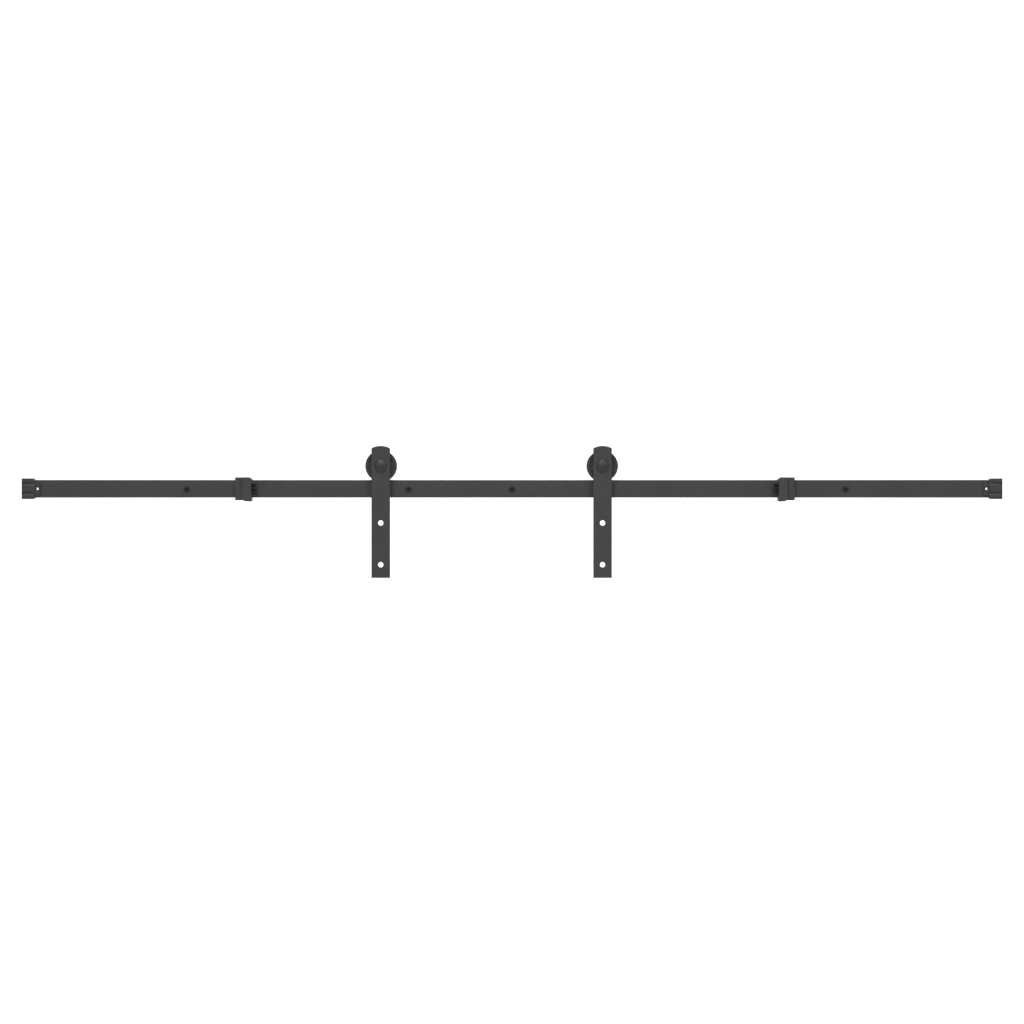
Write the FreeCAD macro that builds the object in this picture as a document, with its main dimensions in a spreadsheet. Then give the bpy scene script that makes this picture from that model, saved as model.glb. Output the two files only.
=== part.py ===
import FreeCAD, Part
import math
import os
from types import SimpleNamespace

import Sketcher

# Sliding door hardware: a flat rail on wall spacers, two roller hangers and two clamped stops.
#
# The model's axes are X to the right, Y into the wall and Z up. Its origin is where the middle
# wall fixing leaves the wall, on the line of the fixings, and the wall is the plane Y = 0.
# Each piece is drawn as a front elevation, x right and y up, with its local z as the distance
# out from the wall. ELEVATION turns that drawing upright into the model's axes.

SIZES = [
    # alias, value, what it is
    ("rail_length", 2200, "rail, end to end"),
    ("rail_height", 40, "rail section, height"),
    ("rail_thick", 6, "rail section, thickness"),
    ("rail_edge", 1.2, "chamfer along the rail's long edges"),
    ("wall_gap", 35, "spacer length, wall to back of rail"),
    ("spacer_dia", 22, "spacer outside diameter"),
    ("spacer_edge", 1, "chamfer on the spacer's ends"),
    ("fixing_dia", 10, "wall bolt thread"),
    ("fixing_neck", 9, "wall bolt's plain neck, in the spacer"),
    ("fixing_clear", 0.4, "hole over wall bolt, on the diameter"),
    ("fixing_head", 20, "wall bolt countersunk head"),
    ("fixing_key", 10, "wall bolt socket, across flats"),
    ("fixing_key_deep", 3, "wall bolt socket depth"),
    ("fixing_embed", 50, "wall bolt length in the wall"),
    ("fixing_point", 9, "wall bolt pointed tip"),
    ("fixing_drop", 2, "line of fixings below the rail's centreline"),
    ("fixing_left_outer", 734.3, "outer left fixing, from the middle one"),
    ("fixing_left_inner", 233.4, "inner left fixing, from the middle one"),
    ("fixing_right_inner", 205, "inner right fixing, from the middle one"),
    ("fixing_right_outer", 753.5, "outer right fixing, from the middle one"),
    ("cap_body", 28, "end cap block, along the rail"),
    ("cap_wall", 3.2, "end cap wall over the rail's edges"),
    ("cap_end", 5.6, "end cap wall past the rail's end"),
    ("cap_front", 9, "end cap block proud of the rail's face"),
    ("cap_back", 4, "end cap block behind the rail"),
    ("cap_bevel", 2.5, "bevel round the end cap's inner edge"),
    ("cap_edge", 1, "rounding round the end cap's outer edge"),
    ("cap_fit", 0.1, "gap between end cap and rail"),
    ("flute_rise", 11, "end cap flute from the centreline"),
    ("flute_dia", 9.2, "end cap flute cutter"),
    ("flute_out", 1.1, "flute cutter centre proud of the face"),
    ("flute_start", 1.6, "end cap flutes from the cap's outer end"),
    ("tongue_reach", 41, "tongue tip from the cap's outer end"),
    ("tongue_tall", 30, "tongue height"),
    ("tongue_thick", 3.5, "tongue thickness"),
    ("tongue_round", 4, "tongue corner rounding"),
    ("end_hole", 6, "end screw hole"),
    ("end_sink", 11, "end screw countersink"),
    ("end_hole_in", 33.7, "end screw hole from the cap's outer end"),
    ("stop_left", 587, "left stop's inner face from the middle"),
    ("stop_right", 600.3, "right stop's inner face from the middle"),
    ("stop_length", 37.5, "stop along the rail"),
    ("stop_head", 20, "stop's proud head along the rail"),
    ("stop_roof", 5.6, "stop wall over the rail's top edge"),
    ("stop_sole", 5.8, "stop wall under the rail's bottom edge"),
    ("stop_boss", 2.4, "set screw boss below the stop's sole"),
    ("stop_boss_in", 2.6, "set screw boss short of the head's outer side"),
    ("stop_slot_gap", 0.3, "gap between stop and rail"),
    ("stop_face", 8, "stop's low face proud of the rail's face"),
    ("head_past", 0.5, "stop's head proud of the hanger straps"),
    ("stop_slope", 5, "slope on the stop's top inner corner, along the rail"),
    ("stop_slope_drop", 4, "the same slope, its drop"),
    ("stop_edge", 1.2, "rounding on the stop's front corners"),
    ("plate_thick", 3, "stop's back plate"),
    ("plate_screw", 3, "back plate screw"),
    ("plate_screw_head", 5.6, "back plate screw head"),
    ("plate_screw_long", 12, "back plate screw length"),
    ("plate_screw_inner", 14, "inner back plate screws from the stop's inner face"),
    ("plate_screw_outer", 8, "outer back plate screws from the stop's outer end"),
    ("plate_key", 1.8, "back plate screw socket, across flats"),
    ("plate_key_deep", 1.5, "back plate screw socket depth"),
    ("set_screw", 5, "set screw diameter"),
    ("set_screw_key", 2.5, "set screw socket, across flats and depth"),
    ("set_screw_point", 1, "set screw's bevelled tip"),
    ("set_screw_in", 6, "set screw from the stop's inner face"),
    ("set_screw_long", 9, "set screw length"),
    ("set_screw_gap", 0.1, "gap left between set screw and rail"),
    ("bumper_long", 10, "rubber bumper proud of the stop"),
    ("bumper_lobe", 11, "rubber bumper lobe diameter"),
    ("bumper_pitch", 10, "rubber bumper lobe spacing"),
    ("bumper_stem", 7, "rubber bumper stem diameter"),
    ("bumper_stem_long", 10, "rubber bumper stem length"),
    ("bumper_inset", 1.2, "bumper's front behind the head's face"),
    ("hanger_left", 295.6, "left hanger's axle from the middle"),
    ("hanger_right", 203.9, "right hanger's axle from the middle"),
    ("strap_width", 42, "hanger strap width"),
    ("strap_thick", 6, "hanger strap thickness"),
    ("strap_top", 45.3, "strap's rounded top, radius about the axle"),
    ("strap_bottom", 201, "strap's bottom end below the rail's centreline"),
    ("strap_edge", 1, "chamfer round the strap's faces"),
    ("door_hole", 12, "door bolt hole in the strap"),
    ("door_hole_pitch", 94, "door bolt holes, centre to centre"),
    ("door_hole_up", 29.8, "lower door bolt hole above the strap's end"),
    ("flange_tall", 4.2, "wheel flange above the groove"),
    ("wheel_wide", 20, "wheel width"),
    ("tread_dia", 62.6, "wheel diameter in the groove"),
    ("tread_gap", 0.1, "gap left between wheel and rail"),
    ("groove_side", 0.5, "groove wider than the rail, each side"),
    ("groove_flare", 1.5, "groove wider again at the flange's rim, each side"),
    ("wheel_edge", 1, "chamfer on the wheel's rims"),
    ("rim_ring", 6.5, "wheel's raised rim, radially"),
    ("web_sink", 1.5, "wheel's web below rim and hub"),
    ("hub_wall", 3, "wheel's raised hub round the bearing"),
    ("hub_lip", 2.5, "wheel's lip in front of the bearing"),
    ("bearing_bore", 12, "bearing bore, and axle diameter"),
    ("bearing_dia", 32, "bearing outside diameter"),
    ("bearing_wide", 10, "bearing width"),
    ("ball_share", 0.59, "ball diameter over the space between bore and outside"),
    ("shoulder_share", 0.17, "race shoulder off the ball circle, over the same space"),
    ("cage_share", 0.09, "half the cage's thickness, over the same space"),
    ("ball_gap", 0.04, "gap between balls and races"),
    ("cage_end_gap", 0.5, "gap between cage and shields"),
    ("cage_play", 0.15, "gap between balls and cage"),
    ("shield_thick", 0.5, "bearing shield"),
    ("shield_in", 0.3, "bearing shield below the ring's face"),
    ("shield_gap", 0.2, "gap between shield and inner ring"),
    ("bush_wall", 2.5, "axle bushes, wall"),
    ("strap_stand", 2.5, "strap's back clear of the wheel's front"),
    ("nut_stand", 2, "washer clear of the wheel's back"),
    ("washer_wide", 6, "axle washer, hole to outside"),
    ("washer_thick", 2.5, "axle washer"),
    ("dome_dia", 28, "axle bolt's domed head"),
    ("dome_tall", 8, "axle bolt's domed head"),
    ("dome_rim", 1.2, "straight rim under the dome"),
    ("neck_play", 0.3, "square neck's gap in the strap, on the width"),
    ("nut_flats", 19, "lock nut across flats"),
    ("nut_tall", 10, "lock nut's hexagon"),
    ("nut_collar", 2, "lock nut's collar"),
    ("nut_collar_dia", 17, "lock nut's collar"),
    ("bolt_past", 1.5, "axle bolt past the nut"),
    ("bolt_point", 1, "bevel on the axle bolt's end"),
]
BALL_COUNT = 8
SHEET = "Sizes"
EXPORT_FOLDER = "parts"

ELEVATION = FreeCAD.Rotation(FreeCAD.Vector(1, 0, 0), 90)
HALF_TURN = FreeCAD.Rotation(FreeCAD.Vector(0, 0, 1), 180)
Z_AXIS = FreeCAD.Vector(0, 0, 1)

doc = FreeCAD.newDocument("SlidingDoorHardware")


class Size:
    """A number together with the sheet expression that gives it."""

    def __init__(self, value, text):
        self.value = value
        self.text = text

    def __add__(self, other):
        other = as_size(other)
        return Size(self.value + other.value, f"({self.text} + {other.text})")

    def __sub__(self, other):
        other = as_size(other)
        return Size(self.value - other.value, f"({self.text} - {other.text})")

    def __mul__(self, other):
        other = as_size(other)
        return Size(self.value * other.value, f"({self.text} * {other.text})")

    def __truediv__(self, other):
        other = as_size(other)
        return Size(self.value / other.value, f"({self.text} / {other.text})")

    def __neg__(self):
        return Size(-self.value, f"(0 - {self.text})")

    __radd__ = __add__
    __rmul__ = __mul__


def as_size(number):
    """The number as a Size, whether it comes from the sheet or not."""
    if isinstance(number, Size):
        return number
    return Size(number, f"({number:.6f})")


def root(size):
    """Square root of a Size."""
    return Size(math.sqrt(size.value), f"sqrt({size.text})")


def fill_sheet():
    """Writes SIZES to the spreadsheet and returns one Size for each alias."""
    sheet = doc.addObject("Spreadsheet::Sheet", SHEET)
    sizes = SimpleNamespace()
    for row, (alias, value, note) in enumerate(SIZES, start=1):
        sheet.set(f"A{row}", note)
        sheet.set(f"B{row}", str(value))
        sheet.setAlias(f"B{row}", alias)
        setattr(sizes, alias, Size(value, f"{SHEET}.{alias}"))
    doc.recompute()
    return sizes


def bind(target, name, size):
    """Ties a property to the sheet."""
    target.setExpression(name, as_size(size).text)


def place(target, x=0, y=0, z=0, turn=ELEVATION):
    """Turns a drawing upright and puts its origin at x right, y into the wall and z up."""
    target.Placement = FreeCAD.Placement(FreeCAD.Vector(), turn)
    for axis, distance in (("x", x), ("y", y), ("z", z)):
        bind(target, f"Placement.Base.{axis}", distance)
    return target


def new_body(label):
    body = doc.addObject("PartDesign::Body", label)
    body.Label = label
    return body


def new_sketch(body, role="XY_Plane", lift=0):
    """An empty sketch on one of the body's own planes, lifted along the plane's normal."""
    sketch = body.newObject("Sketcher::SketchObject", "Sketch")
    plane = next(item for item in body.Origin.OriginFeatures if item.Role == role)
    sketch.AttachmentSupport = [(plane, "")]
    sketch.MapMode = "FlatFace"
    bind(sketch, "AttachmentOffset.Base.z", lift)
    return sketch


def hold(sketch, geometry, point, x, y):
    """Holds a point of the sketch at x, y."""
    for kind, distance in (("DistanceX", as_size(x)), ("DistanceY", as_size(y))):
        rule = Sketcher.Constraint(kind, -1, 1, geometry, point, distance.value)
        number = sketch.addConstraint(rule)
        sketch.setExpression(f"Constraints[{number}]", distance.text)


def arc_between(start, end, radius):
    """The short arc from start to end; a negative radius bulges to the left of the way."""
    chord = end - start
    across = FreeCAD.Vector(chord.y, -chord.x, 0).normalize()
    drop = math.sqrt(radius * radius - chord.Length ** 2 / 4)
    side = math.copysign(1, radius)
    crown = (start + end) / 2 + across * side * (abs(radius) - drop)
    return Part.Arc(start, crown, end)


def outline(sketch, corners, arcs=None):
    """A closed outline through the corners. arcs gives a radius to the edge leaving a corner."""
    arcs = arcs or {}
    points = [FreeCAD.Vector(as_size(x).value, as_size(y).value, 0) for x, y in corners]
    first = sketch.GeometryCount
    tails = []
    for index, point in enumerate(points):
        following = points[(index + 1) % len(points)]
        if index in arcs:
            curve = arc_between(point, following, arcs[index].value)
            counter_clockwise = arcs[index].value > 0
            tails.append((1, 2) if counter_clockwise else (2, 1))
        else:
            curve = Part.LineSegment(point, following)
            tails.append((1, 2))
        sketch.addGeometry(curve, False)
    for index, (x, y) in enumerate(corners):
        before = (index - 1) % len(corners)
        start, end = tails[index][0], tails[before][1]
        rule = Sketcher.Constraint("Coincident", first + before, end, first + index, start)
        sketch.addConstraint(rule)
        hold(sketch, first + index, start, x, y)
    for index, radius in arcs.items():
        size = radius if radius.value > 0 else -radius
        number = sketch.addConstraint(Sketcher.Constraint("Radius", first + index, size.value))
        sketch.setExpression(f"Constraints[{number}]", size.text)


def rectangle(sketch, left, right, bottom, top):
    outline(sketch, [(left, bottom), (right, bottom), (right, top), (left, top)])


def circle(sketch, x, y, diameter):
    diameter = as_size(diameter)
    centre = FreeCAD.Vector(as_size(x).value, as_size(y).value, 0)
    number = sketch.addGeometry(Part.Circle(centre, Z_AXIS, diameter.value / 2), False)
    hold(sketch, number, 3, x, y)
    rule = sketch.addConstraint(Sketcher.Constraint("Diameter", number, diameter.value))
    sketch.setExpression(f"Constraints[{rule}]", diameter.text)


def hexagon(sketch, x, y, across_flats):
    """A regular hexagon with its points to the left and right."""
    corner = across_flats / math.sqrt(3)
    corners = []
    for step in range(6):
        angle = math.radians(60 * step)
        corners.append((x + corner * math.cos(angle), y + corner * math.sin(angle)))
    outline(sketch, corners)


def pad(body, sketch, length, backwards=False):
    feature = body.newObject("PartDesign::Pad", "Pad")
    feature.Profile = sketch
    feature.Reversed = backwards
    bind(feature, "Length", length)
    doc.recompute()
    return feature


def cut_down(body, feature, before):
    """Stops the build if a cut took nothing away."""
    doc.recompute()
    if feature.Shape.isNull() or feature.Shape.Volume >= before - 1e-6:
        raise RuntimeError(f"{body.Label}: {feature.Name} cuts nothing")
    return feature


def pocket(body, sketch, depth=None, backwards=False):
    """Cuts against the sketch's normal, or along it if backwards; right through with no depth."""
    before = body.Shape.Volume
    feature = body.newObject("PartDesign::Pocket", "Pocket")
    feature.Profile = sketch
    feature.Reversed = backwards
    if depth is None:
        feature.Type = "ThroughAll"
    else:
        bind(feature, "Length", depth)
    return cut_down(body, feature, before)


def sunk_hole(body, sketch, diameter, sink, backwards=False):
    """Countersunk holes right through, sunk at the sketch's plane."""
    before = body.Shape.Volume
    feature = body.newObject("PartDesign::Hole", "Hole")
    feature.Profile = sketch
    doc.recompute()
    feature.Reversed = backwards
    feature.ThreadType = "None"
    feature.HoleCutType = "Countersink"
    feature.HoleCutCustomValues = True
    feature.DepthType = "ThroughAll"
    feature.HoleCutCountersinkAngle = 90
    bind(feature, "Diameter", diameter)
    bind(feature, "HoleCutDiameter", sink)
    return cut_down(body, feature, before)


def turned(body, corners, arcs=None, cut=False):
    """Turns an outline of (radius, depth) corners about the local z axis."""
    sketch = new_sketch(body, "XZ_Plane")
    outline(sketch, corners, arcs)
    before = body.Shape.Volume if cut else 0
    kind = "PartDesign::Groove" if cut else "PartDesign::Revolution"
    feature = body.newObject(kind, "Turned")
    feature.Profile = sketch
    feature.ReferenceAxis = (sketch, ["V_Axis"])
    feature.Angle = 360
    if cut:
        return cut_down(body, feature, before)
    doc.recompute()
    return feature


def dress(body, kind, size, wanted):
    """A Fillet or Chamfer on the edges of the body that the test picks."""
    base = body.Tip
    names = [f"Edge{n}" for n, edge in enumerate(base.Shape.Edges, 1) if wanted(edge)]
    if not names:
        raise RuntimeError(f"{body.Label}: no edge to dress")
    feature = body.newObject(f"PartDesign::{kind}", kind)
    feature.Base = (base, names)
    bind(feature, "Size" if kind == "Chamfer" else "Radius", size)
    doc.recompute()
    return feature


def runs_along(edge, direction):
    """True for a straight edge along the direction."""
    if not isinstance(edge.Curve, Part.Line):
        return False
    return abs(edge.Curve.Direction.dot(direction)) > 0.999


def lies_at(edge, axis, distance):
    """True if the whole edge has this coordinate."""
    box = edge.BoundBox
    low, high = {"x": (box.XMin, box.XMax), "y": (box.YMin, box.YMax), "z": (box.ZMin, box.ZMax)}[axis]
    return abs(low - distance) < 1e-4 and abs(high - distance) < 1e-4


def tube(label, outer, inner, length, edge=None):
    """A plain tube from z = 0 up: a cylinder with a cylinder cut out of it."""
    outside = doc.addObject("Part::Cylinder", f"{label}_outside")
    bind(outside, "Radius", outer / 2)
    bind(outside, "Height", length)
    inside = doc.addObject("Part::Cylinder", f"{label}_inside")
    bind(inside, "Radius", inner / 2)
    bind(inside, "Height", length)
    piece = doc.addObject("Part::Cut", f"{label}_tube" if edge else label)
    piece.Base = outside
    piece.Tool = inside
    doc.recompute()
    if edge is None:
        return piece
    rims = [
        (number, edge.value, edge.value)
        for number, rim in enumerate(piece.Shape.Edges, 1)
        if isinstance(rim.Curve, Part.Circle) and abs(rim.Curve.Radius - outer.value / 2) < 1e-6
    ]
    eased = doc.addObject("Part::Chamfer", label)
    eased.Base = piece
    eased.Edges = rims
    return eased


def group(label, pieces):
    """Several like solids in one node."""
    compound = doc.addObject("Part::Compound", label)
    compound.Label = label
    compound.Links = pieces
    return compound


d = fill_sheet()

# Depths out from the wall
rail_back = d.wall_gap
rail_face = rail_back + d.rail_thick
rail_mid = rail_back + d.rail_thick / 2
wheel_front = rail_mid + d.wheel_wide / 2
wheel_back = rail_mid - d.wheel_wide / 2
strap_back = wheel_front + d.strap_stand
strap_face = strap_back + d.strap_thick
bearing_front = rail_mid + d.bearing_wide / 2
bearing_back = rail_mid - d.bearing_wide / 2
washer_front = wheel_back - d.nut_stand
nut_front = washer_front - d.washer_thick
nut_back = nut_front - d.nut_tall
bolt_end = nut_back - d.nut_collar - d.bolt_past
stop_front = rail_face + d.stop_face
head_front = strap_face + d.head_past
plate_front = rail_back - d.stop_slot_gap
plate_back = plate_front - d.plate_thick
bumper_depth = head_front - d.bumper_inset - d.bumper_lobe / 2

# Heights and places along the rail
rail_half = d.rail_height / 2
rail_centre = d.fixing_drop
axle_height = rail_centre + rail_half + d.tread_gap + d.tread_dia / 2
cap_outer_end = d.rail_length / 2 + d.cap_end
end_hole_x = cap_outer_end - d.end_hole_in
fixing_places = [
    -d.fixing_left_outer,
    -d.fixing_left_inner,
    as_size(0),
    d.fixing_right_inner,
    d.fixing_right_outer,
]
fixing_hole = d.fixing_dia + d.fixing_clear
slot_half = rail_half + d.stop_slot_gap
stop_top = slot_half + d.stop_roof
stop_bottom = -slot_half - d.stop_sole

# Radii about each axle
bearing_space = (d.bearing_dia - d.bearing_bore) / 2
ball_circle = (d.bearing_dia + d.bearing_bore) / 4
ball_radius = bearing_space * d.ball_share / 2
race_shoulder = bearing_space * d.shoulder_share
inner_shoulder = ball_circle - race_shoulder
outer_shoulder = ball_circle + race_shoulder


def make_rail():
    """Flat bar, with countersunk fixing holes and a plain hole at each end."""
    body = new_body("rail")
    sketch = new_sketch(body, lift=rail_back)
    half_length = d.rail_length / 2
    rectangle(sketch, -half_length, half_length, -rail_half, rail_half)
    pad(body, sketch, d.rail_thick)
    along = FreeCAD.Vector(1, 0, 0)
    dress(body, "Chamfer", d.rail_edge, lambda edge: runs_along(edge, along))
    holes = new_sketch(body, lift=rail_face)
    for x in fixing_places:
        circle(holes, x, -d.fixing_drop, fixing_hole)
    sunk_hole(body, holes, fixing_hole, d.fixing_head)
    ends = new_sketch(body, lift=rail_face)
    for x in (-end_hole_x, end_hole_x):
        circle(ends, x, 0, d.end_hole)
    pocket(body, ends)
    return place(body, z=rail_centre)


def make_spacers():
    """A tube between the wall and the rail at each fixing."""
    spacers = []
    for number, x in enumerate(fixing_places, start=1):
        label = f"wall_spacer_{number}"
        spacer = tube(label, d.spacer_dia, fixing_hole, d.wall_gap, d.spacer_edge)
        spacers.append(place(spacer, x=x))
    return spacers


def make_wall_bolts():
    """Countersunk bolts with a hexagon socket, flush with the rail's face."""
    thread = d.fixing_dia / 2
    neck = d.fixing_neck / 2
    head = d.fixing_head / 2
    bolts = []
    for number, x in enumerate(fixing_places, start=1):
        body = new_body(f"wall_bolt_{number}")
        corners = [
            (0, -d.fixing_embed),
            (thread, -d.fixing_embed + d.fixing_point),
            (thread, 0),
            (neck, 0),
            (neck, rail_face - (head - neck)),
            (head, rail_face),
            (0, rail_face),
        ]
        turned(body, corners)
        socket = new_sketch(body, lift=rail_face)
        hexagon(socket, 0, 0, d.fixing_key)
        pocket(body, socket, d.fixing_key_deep)
        bolts.append(place(body, x=x))
    return group("wall_bolts", bolts)


def make_end_cap(label, side):
    """Moulded cap over the rail's end, with two flutes and a screwed tongue on the face."""
    body = new_body(label)
    half = rail_half + d.cap_fit + d.cap_wall
    back = rail_back - d.cap_back
    front = rail_face + d.cap_front
    block = new_sketch(body, "YZ_Plane")
    rectangle(block, -half, half, back, front)
    pad(body, block, d.cap_body)
    inner_end = d.cap_body.value
    dress(body, "Chamfer", d.cap_bevel, lambda edge: lies_at(edge, "x", inner_end))
    along = FreeCAD.Vector(1, 0, 0)
    dress(body, "Fillet", d.cap_edge, lambda edge: lies_at(edge, "x", 0) or runs_along(edge, along))
    flutes = new_sketch(body, "YZ_Plane", lift=d.flute_start)
    for y in (-d.flute_rise, d.flute_rise):
        circle(flutes, y, front + d.flute_out, d.flute_dia)
    pocket(body, flutes, backwards=True)
    tongue = new_sketch(body, lift=rail_face)
    reach = d.tongue_reach
    tall = d.tongue_tall / 2
    bend = d.tongue_round
    corners = [
        (d.cap_end, -tall),
        (reach - bend, -tall),
        (reach, -tall + bend),
        (reach, tall - bend),
        (reach - bend, tall),
        (d.cap_end, tall),
    ]
    outline(tongue, corners, {1: bend, 3: bend})
    pad(body, tongue, d.tongue_thick)
    slot = new_sketch(body, "YZ_Plane", lift=d.cap_end)
    inside = rail_half + d.cap_fit
    rectangle(slot, -inside, inside, rail_back - d.cap_fit, rail_face)
    pocket(body, slot, backwards=True)
    hole = new_sketch(body, lift=rail_face + d.tongue_thick)
    circle(hole, d.end_hole_in, 0, d.end_hole)
    sunk_hole(body, hole, d.end_hole, d.end_sink)
    turn = ELEVATION if side < 0 else ELEVATION.multiply(HALF_TURN)
    return place(body, x=cap_outer_end * side, z=rail_centre, turn=turn)


def stop_view(side):
    """The stop from the front, from its inner face and the rail's centreline."""
    return [
        (0, stop_bottom),
        (d.stop_length * side, stop_bottom),
        (d.stop_length * side, stop_top),
        (d.stop_slope * side, stop_top),
        (0, stop_top - d.stop_slope_drop),
    ]


def stop_head_view(side):
    """The stop's proud head from the front, with the boss for the set screw below it."""
    boss_end = d.stop_head - d.stop_boss_in
    return [
        (0, stop_bottom - d.stop_boss),
        ((boss_end - d.stop_boss) * side, stop_bottom - d.stop_boss),
        (boss_end * side, stop_bottom),
        (d.stop_head * side, stop_bottom),
        (d.stop_head * side, stop_top),
        (d.stop_slope * side, stop_top),
        (0, stop_top - d.stop_slope_drop),
    ]


def plate_screw_places(side):
    """The back plate's screws, from the stop's inner face and the rail's centreline."""
    alongs = (d.plate_screw_inner, d.stop_length - d.plate_screw_outer)
    heights = (slot_half + d.stop_roof / 2, -slot_half - d.stop_sole / 2)
    return [(along * side, height) for along in alongs for height in heights]


def make_stop_body(name, side, inner_face):
    """A block round the rail, open behind, with its head, holes and rail slot."""
    body = new_body(f"{name}_stop_body")
    for view, front in ((stop_view(side), stop_front), (stop_head_view(side), head_front)):
        block = new_sketch(body, lift=plate_front)
        outline(block, view)
        pad(body, block, front - plate_front)
        face = front.value
        dress(body, "Fillet", d.stop_edge, lambda edge: lies_at(edge, "z", face))
    slot = new_sketch(body, "YZ_Plane", lift=-(d.stop_length * 2))
    rectangle(slot, -slot_half, slot_half, plate_front - 1, rail_face + d.stop_slot_gap)
    pocket(body, slot, backwards=True)
    stem = new_sketch(body, "YZ_Plane")
    circle(stem, 0, bumper_depth, d.bumper_stem)
    pocket(body, stem, d.bumper_stem_long, backwards=side > 0)
    tapped = new_sketch(body, "XZ_Plane", lift=slot_half - 1)
    circle(tapped, d.set_screw_in * side, rail_mid, d.set_screw)
    pocket(body, tapped, backwards=True)
    taps = new_sketch(body, lift=plate_front)
    for x, y in plate_screw_places(side):
        circle(taps, x, y, d.plate_screw)
    pocket(body, taps, d.plate_screw_long - d.plate_thick, backwards=True)
    return place(body, x=inner_face * side, z=rail_centre)


def make_stop_plate(name, side, inner_face):
    """The plate that closes the stop behind the rail."""
    plate = new_body(f"{name}_stop_back_plate")
    blank = new_sketch(plate, lift=plate_front)
    outline(blank, stop_view(side))
    pad(plate, blank, d.plate_thick, backwards=True)
    sinks = new_sketch(plate, lift=plate_back)
    for x, y in plate_screw_places(side):
        circle(sinks, x, y, d.plate_screw)
    sunk_hole(plate, sinks, d.plate_screw, d.plate_screw_head, backwards=True)
    return place(plate, x=inner_face * side, z=rail_centre)


def make_plate_screws(name, side, inner_face):
    """Countersunk screws with a hexagon socket, from behind the back plate."""
    shank = d.plate_screw / 2
    head = d.plate_screw_head / 2
    tip = plate_back + d.plate_screw_long
    screws = []
    for number, (x, y) in enumerate(plate_screw_places(side), start=1):
        screw = new_body(f"{name}_plate_screw_{number}")
        corners = [
            (0, plate_back),
            (head, plate_back),
            (shank, plate_back + head - shank),
            (shank, tip),
            (0, tip),
        ]
        turned(screw, corners)
        socket = new_sketch(screw, lift=plate_back)
        hexagon(socket, 0, 0, d.plate_key)
        pocket(screw, socket, d.plate_key_deep, backwards=True)
        screws.append(place(screw, x=inner_face * side + x, z=rail_centre + y))
    return group(f"{name}_stop_plate_screws", screws)


def make_set_screw(name, side, inner_face):
    """Socket set screw pointing up at the rail's bottom edge."""
    screw = new_body(f"{name}_stop_set_screw")
    radius = d.set_screw / 2
    corners = [
        (0, 0),
        (radius - d.set_screw_point, 0),
        (radius, -d.set_screw_point),
        (radius, -d.set_screw_long),
        (0, -d.set_screw_long),
    ]
    turned(screw, corners)
    socket = new_sketch(screw, lift=-d.set_screw_long)
    hexagon(socket, 0, 0, d.set_screw_key)
    pocket(screw, socket, d.set_screw_key, backwards=True)
    x = (inner_face + d.set_screw_in) * side
    z = rail_centre - rail_half - d.set_screw_gap
    return place(screw, x=x, y=-rail_mid, z=z, turn=FreeCAD.Rotation())


def make_bumper(name, side, inner_face):
    """Three rubber lobes in a row, with one stem in the stop; local z points to the hanger."""
    bumper = new_body(f"{name}_stop_bumper")
    radius = d.bumper_lobe / 2
    ease = radius / 2
    sketch = new_sketch(bumper, "XZ_Plane")
    corners = [
        (0, 0),
        (radius, 0),
        (radius, d.bumper_long - ease),
        (radius - ease, d.bumper_long),
        (0, d.bumper_long),
    ]
    outline(sketch, corners, {2: ease})
    lobe = bumper.newObject("PartDesign::Revolution", "Lobe")
    lobe.Profile = sketch
    lobe.ReferenceAxis = (sketch, ["V_Axis"])
    lobe.Angle = 360
    doc.recompute()
    row = bumper.newObject("PartDesign::LinearPattern", "Lobes")
    row.Originals = [lobe]
    row.Direction = (sketch, ["N_Axis"])
    row.Reversed = True
    row.Occurrences = 3
    bind(row, "Length", d.bumper_pitch * 2)
    bumper.Tip = row
    doc.recompute()
    stem = new_sketch(bumper)
    circle(stem, 0, d.bumper_pitch, d.bumper_stem)
    pad(bumper, stem, d.bumper_stem_long, backwards=True)
    turn = ELEVATION.multiply(FreeCAD.Rotation(FreeCAD.Vector(0, 1, 0), -90 * side))
    z = rail_centre - d.bumper_pitch
    return place(bumper, x=inner_face * side, y=-bumper_depth, z=z, turn=turn)


def make_stop(name, side, inner_face):
    """Every piece of one stop, which is clamped on the rail."""
    makers = (make_stop_body, make_stop_plate, make_plate_screws, make_set_screw, make_bumper)
    return [make(name, side, inner_face) for make in makers]


def make_strap(name, origin):
    """Flat strap with a rounded top, two door bolt holes and the axle bolt's square hole."""
    strap = new_body(f"{name}_strap")
    half = d.strap_width / 2
    shoulder = root(d.strap_top * d.strap_top - half * half)
    bottom = rail_centre - d.strap_bottom - axle_height
    blank = new_sketch(strap, lift=strap_back)
    outline(blank, [(-half, bottom), (half, bottom), (half, shoulder), (-half, shoulder)], {2: d.strap_top})
    pad(strap, blank, d.strap_thick)
    faces = (strap_back.value, strap_face.value)
    dress(strap, "Chamfer", d.strap_edge, lambda edge: any(lies_at(edge, "z", z) for z in faces))
    holes = new_sketch(strap, lift=strap_face)
    lower = bottom + d.door_hole_up
    for y in (lower, lower + d.door_hole_pitch):
        circle(holes, 0, y, d.door_hole)
    pocket(strap, holes)
    square = new_sketch(strap, lift=strap_face)
    neck = (d.bearing_bore + d.neck_play) / 2
    rectangle(square, -neck, neck, -neck, neck)
    pocket(strap, square)
    return place(strap, **origin)


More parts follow.
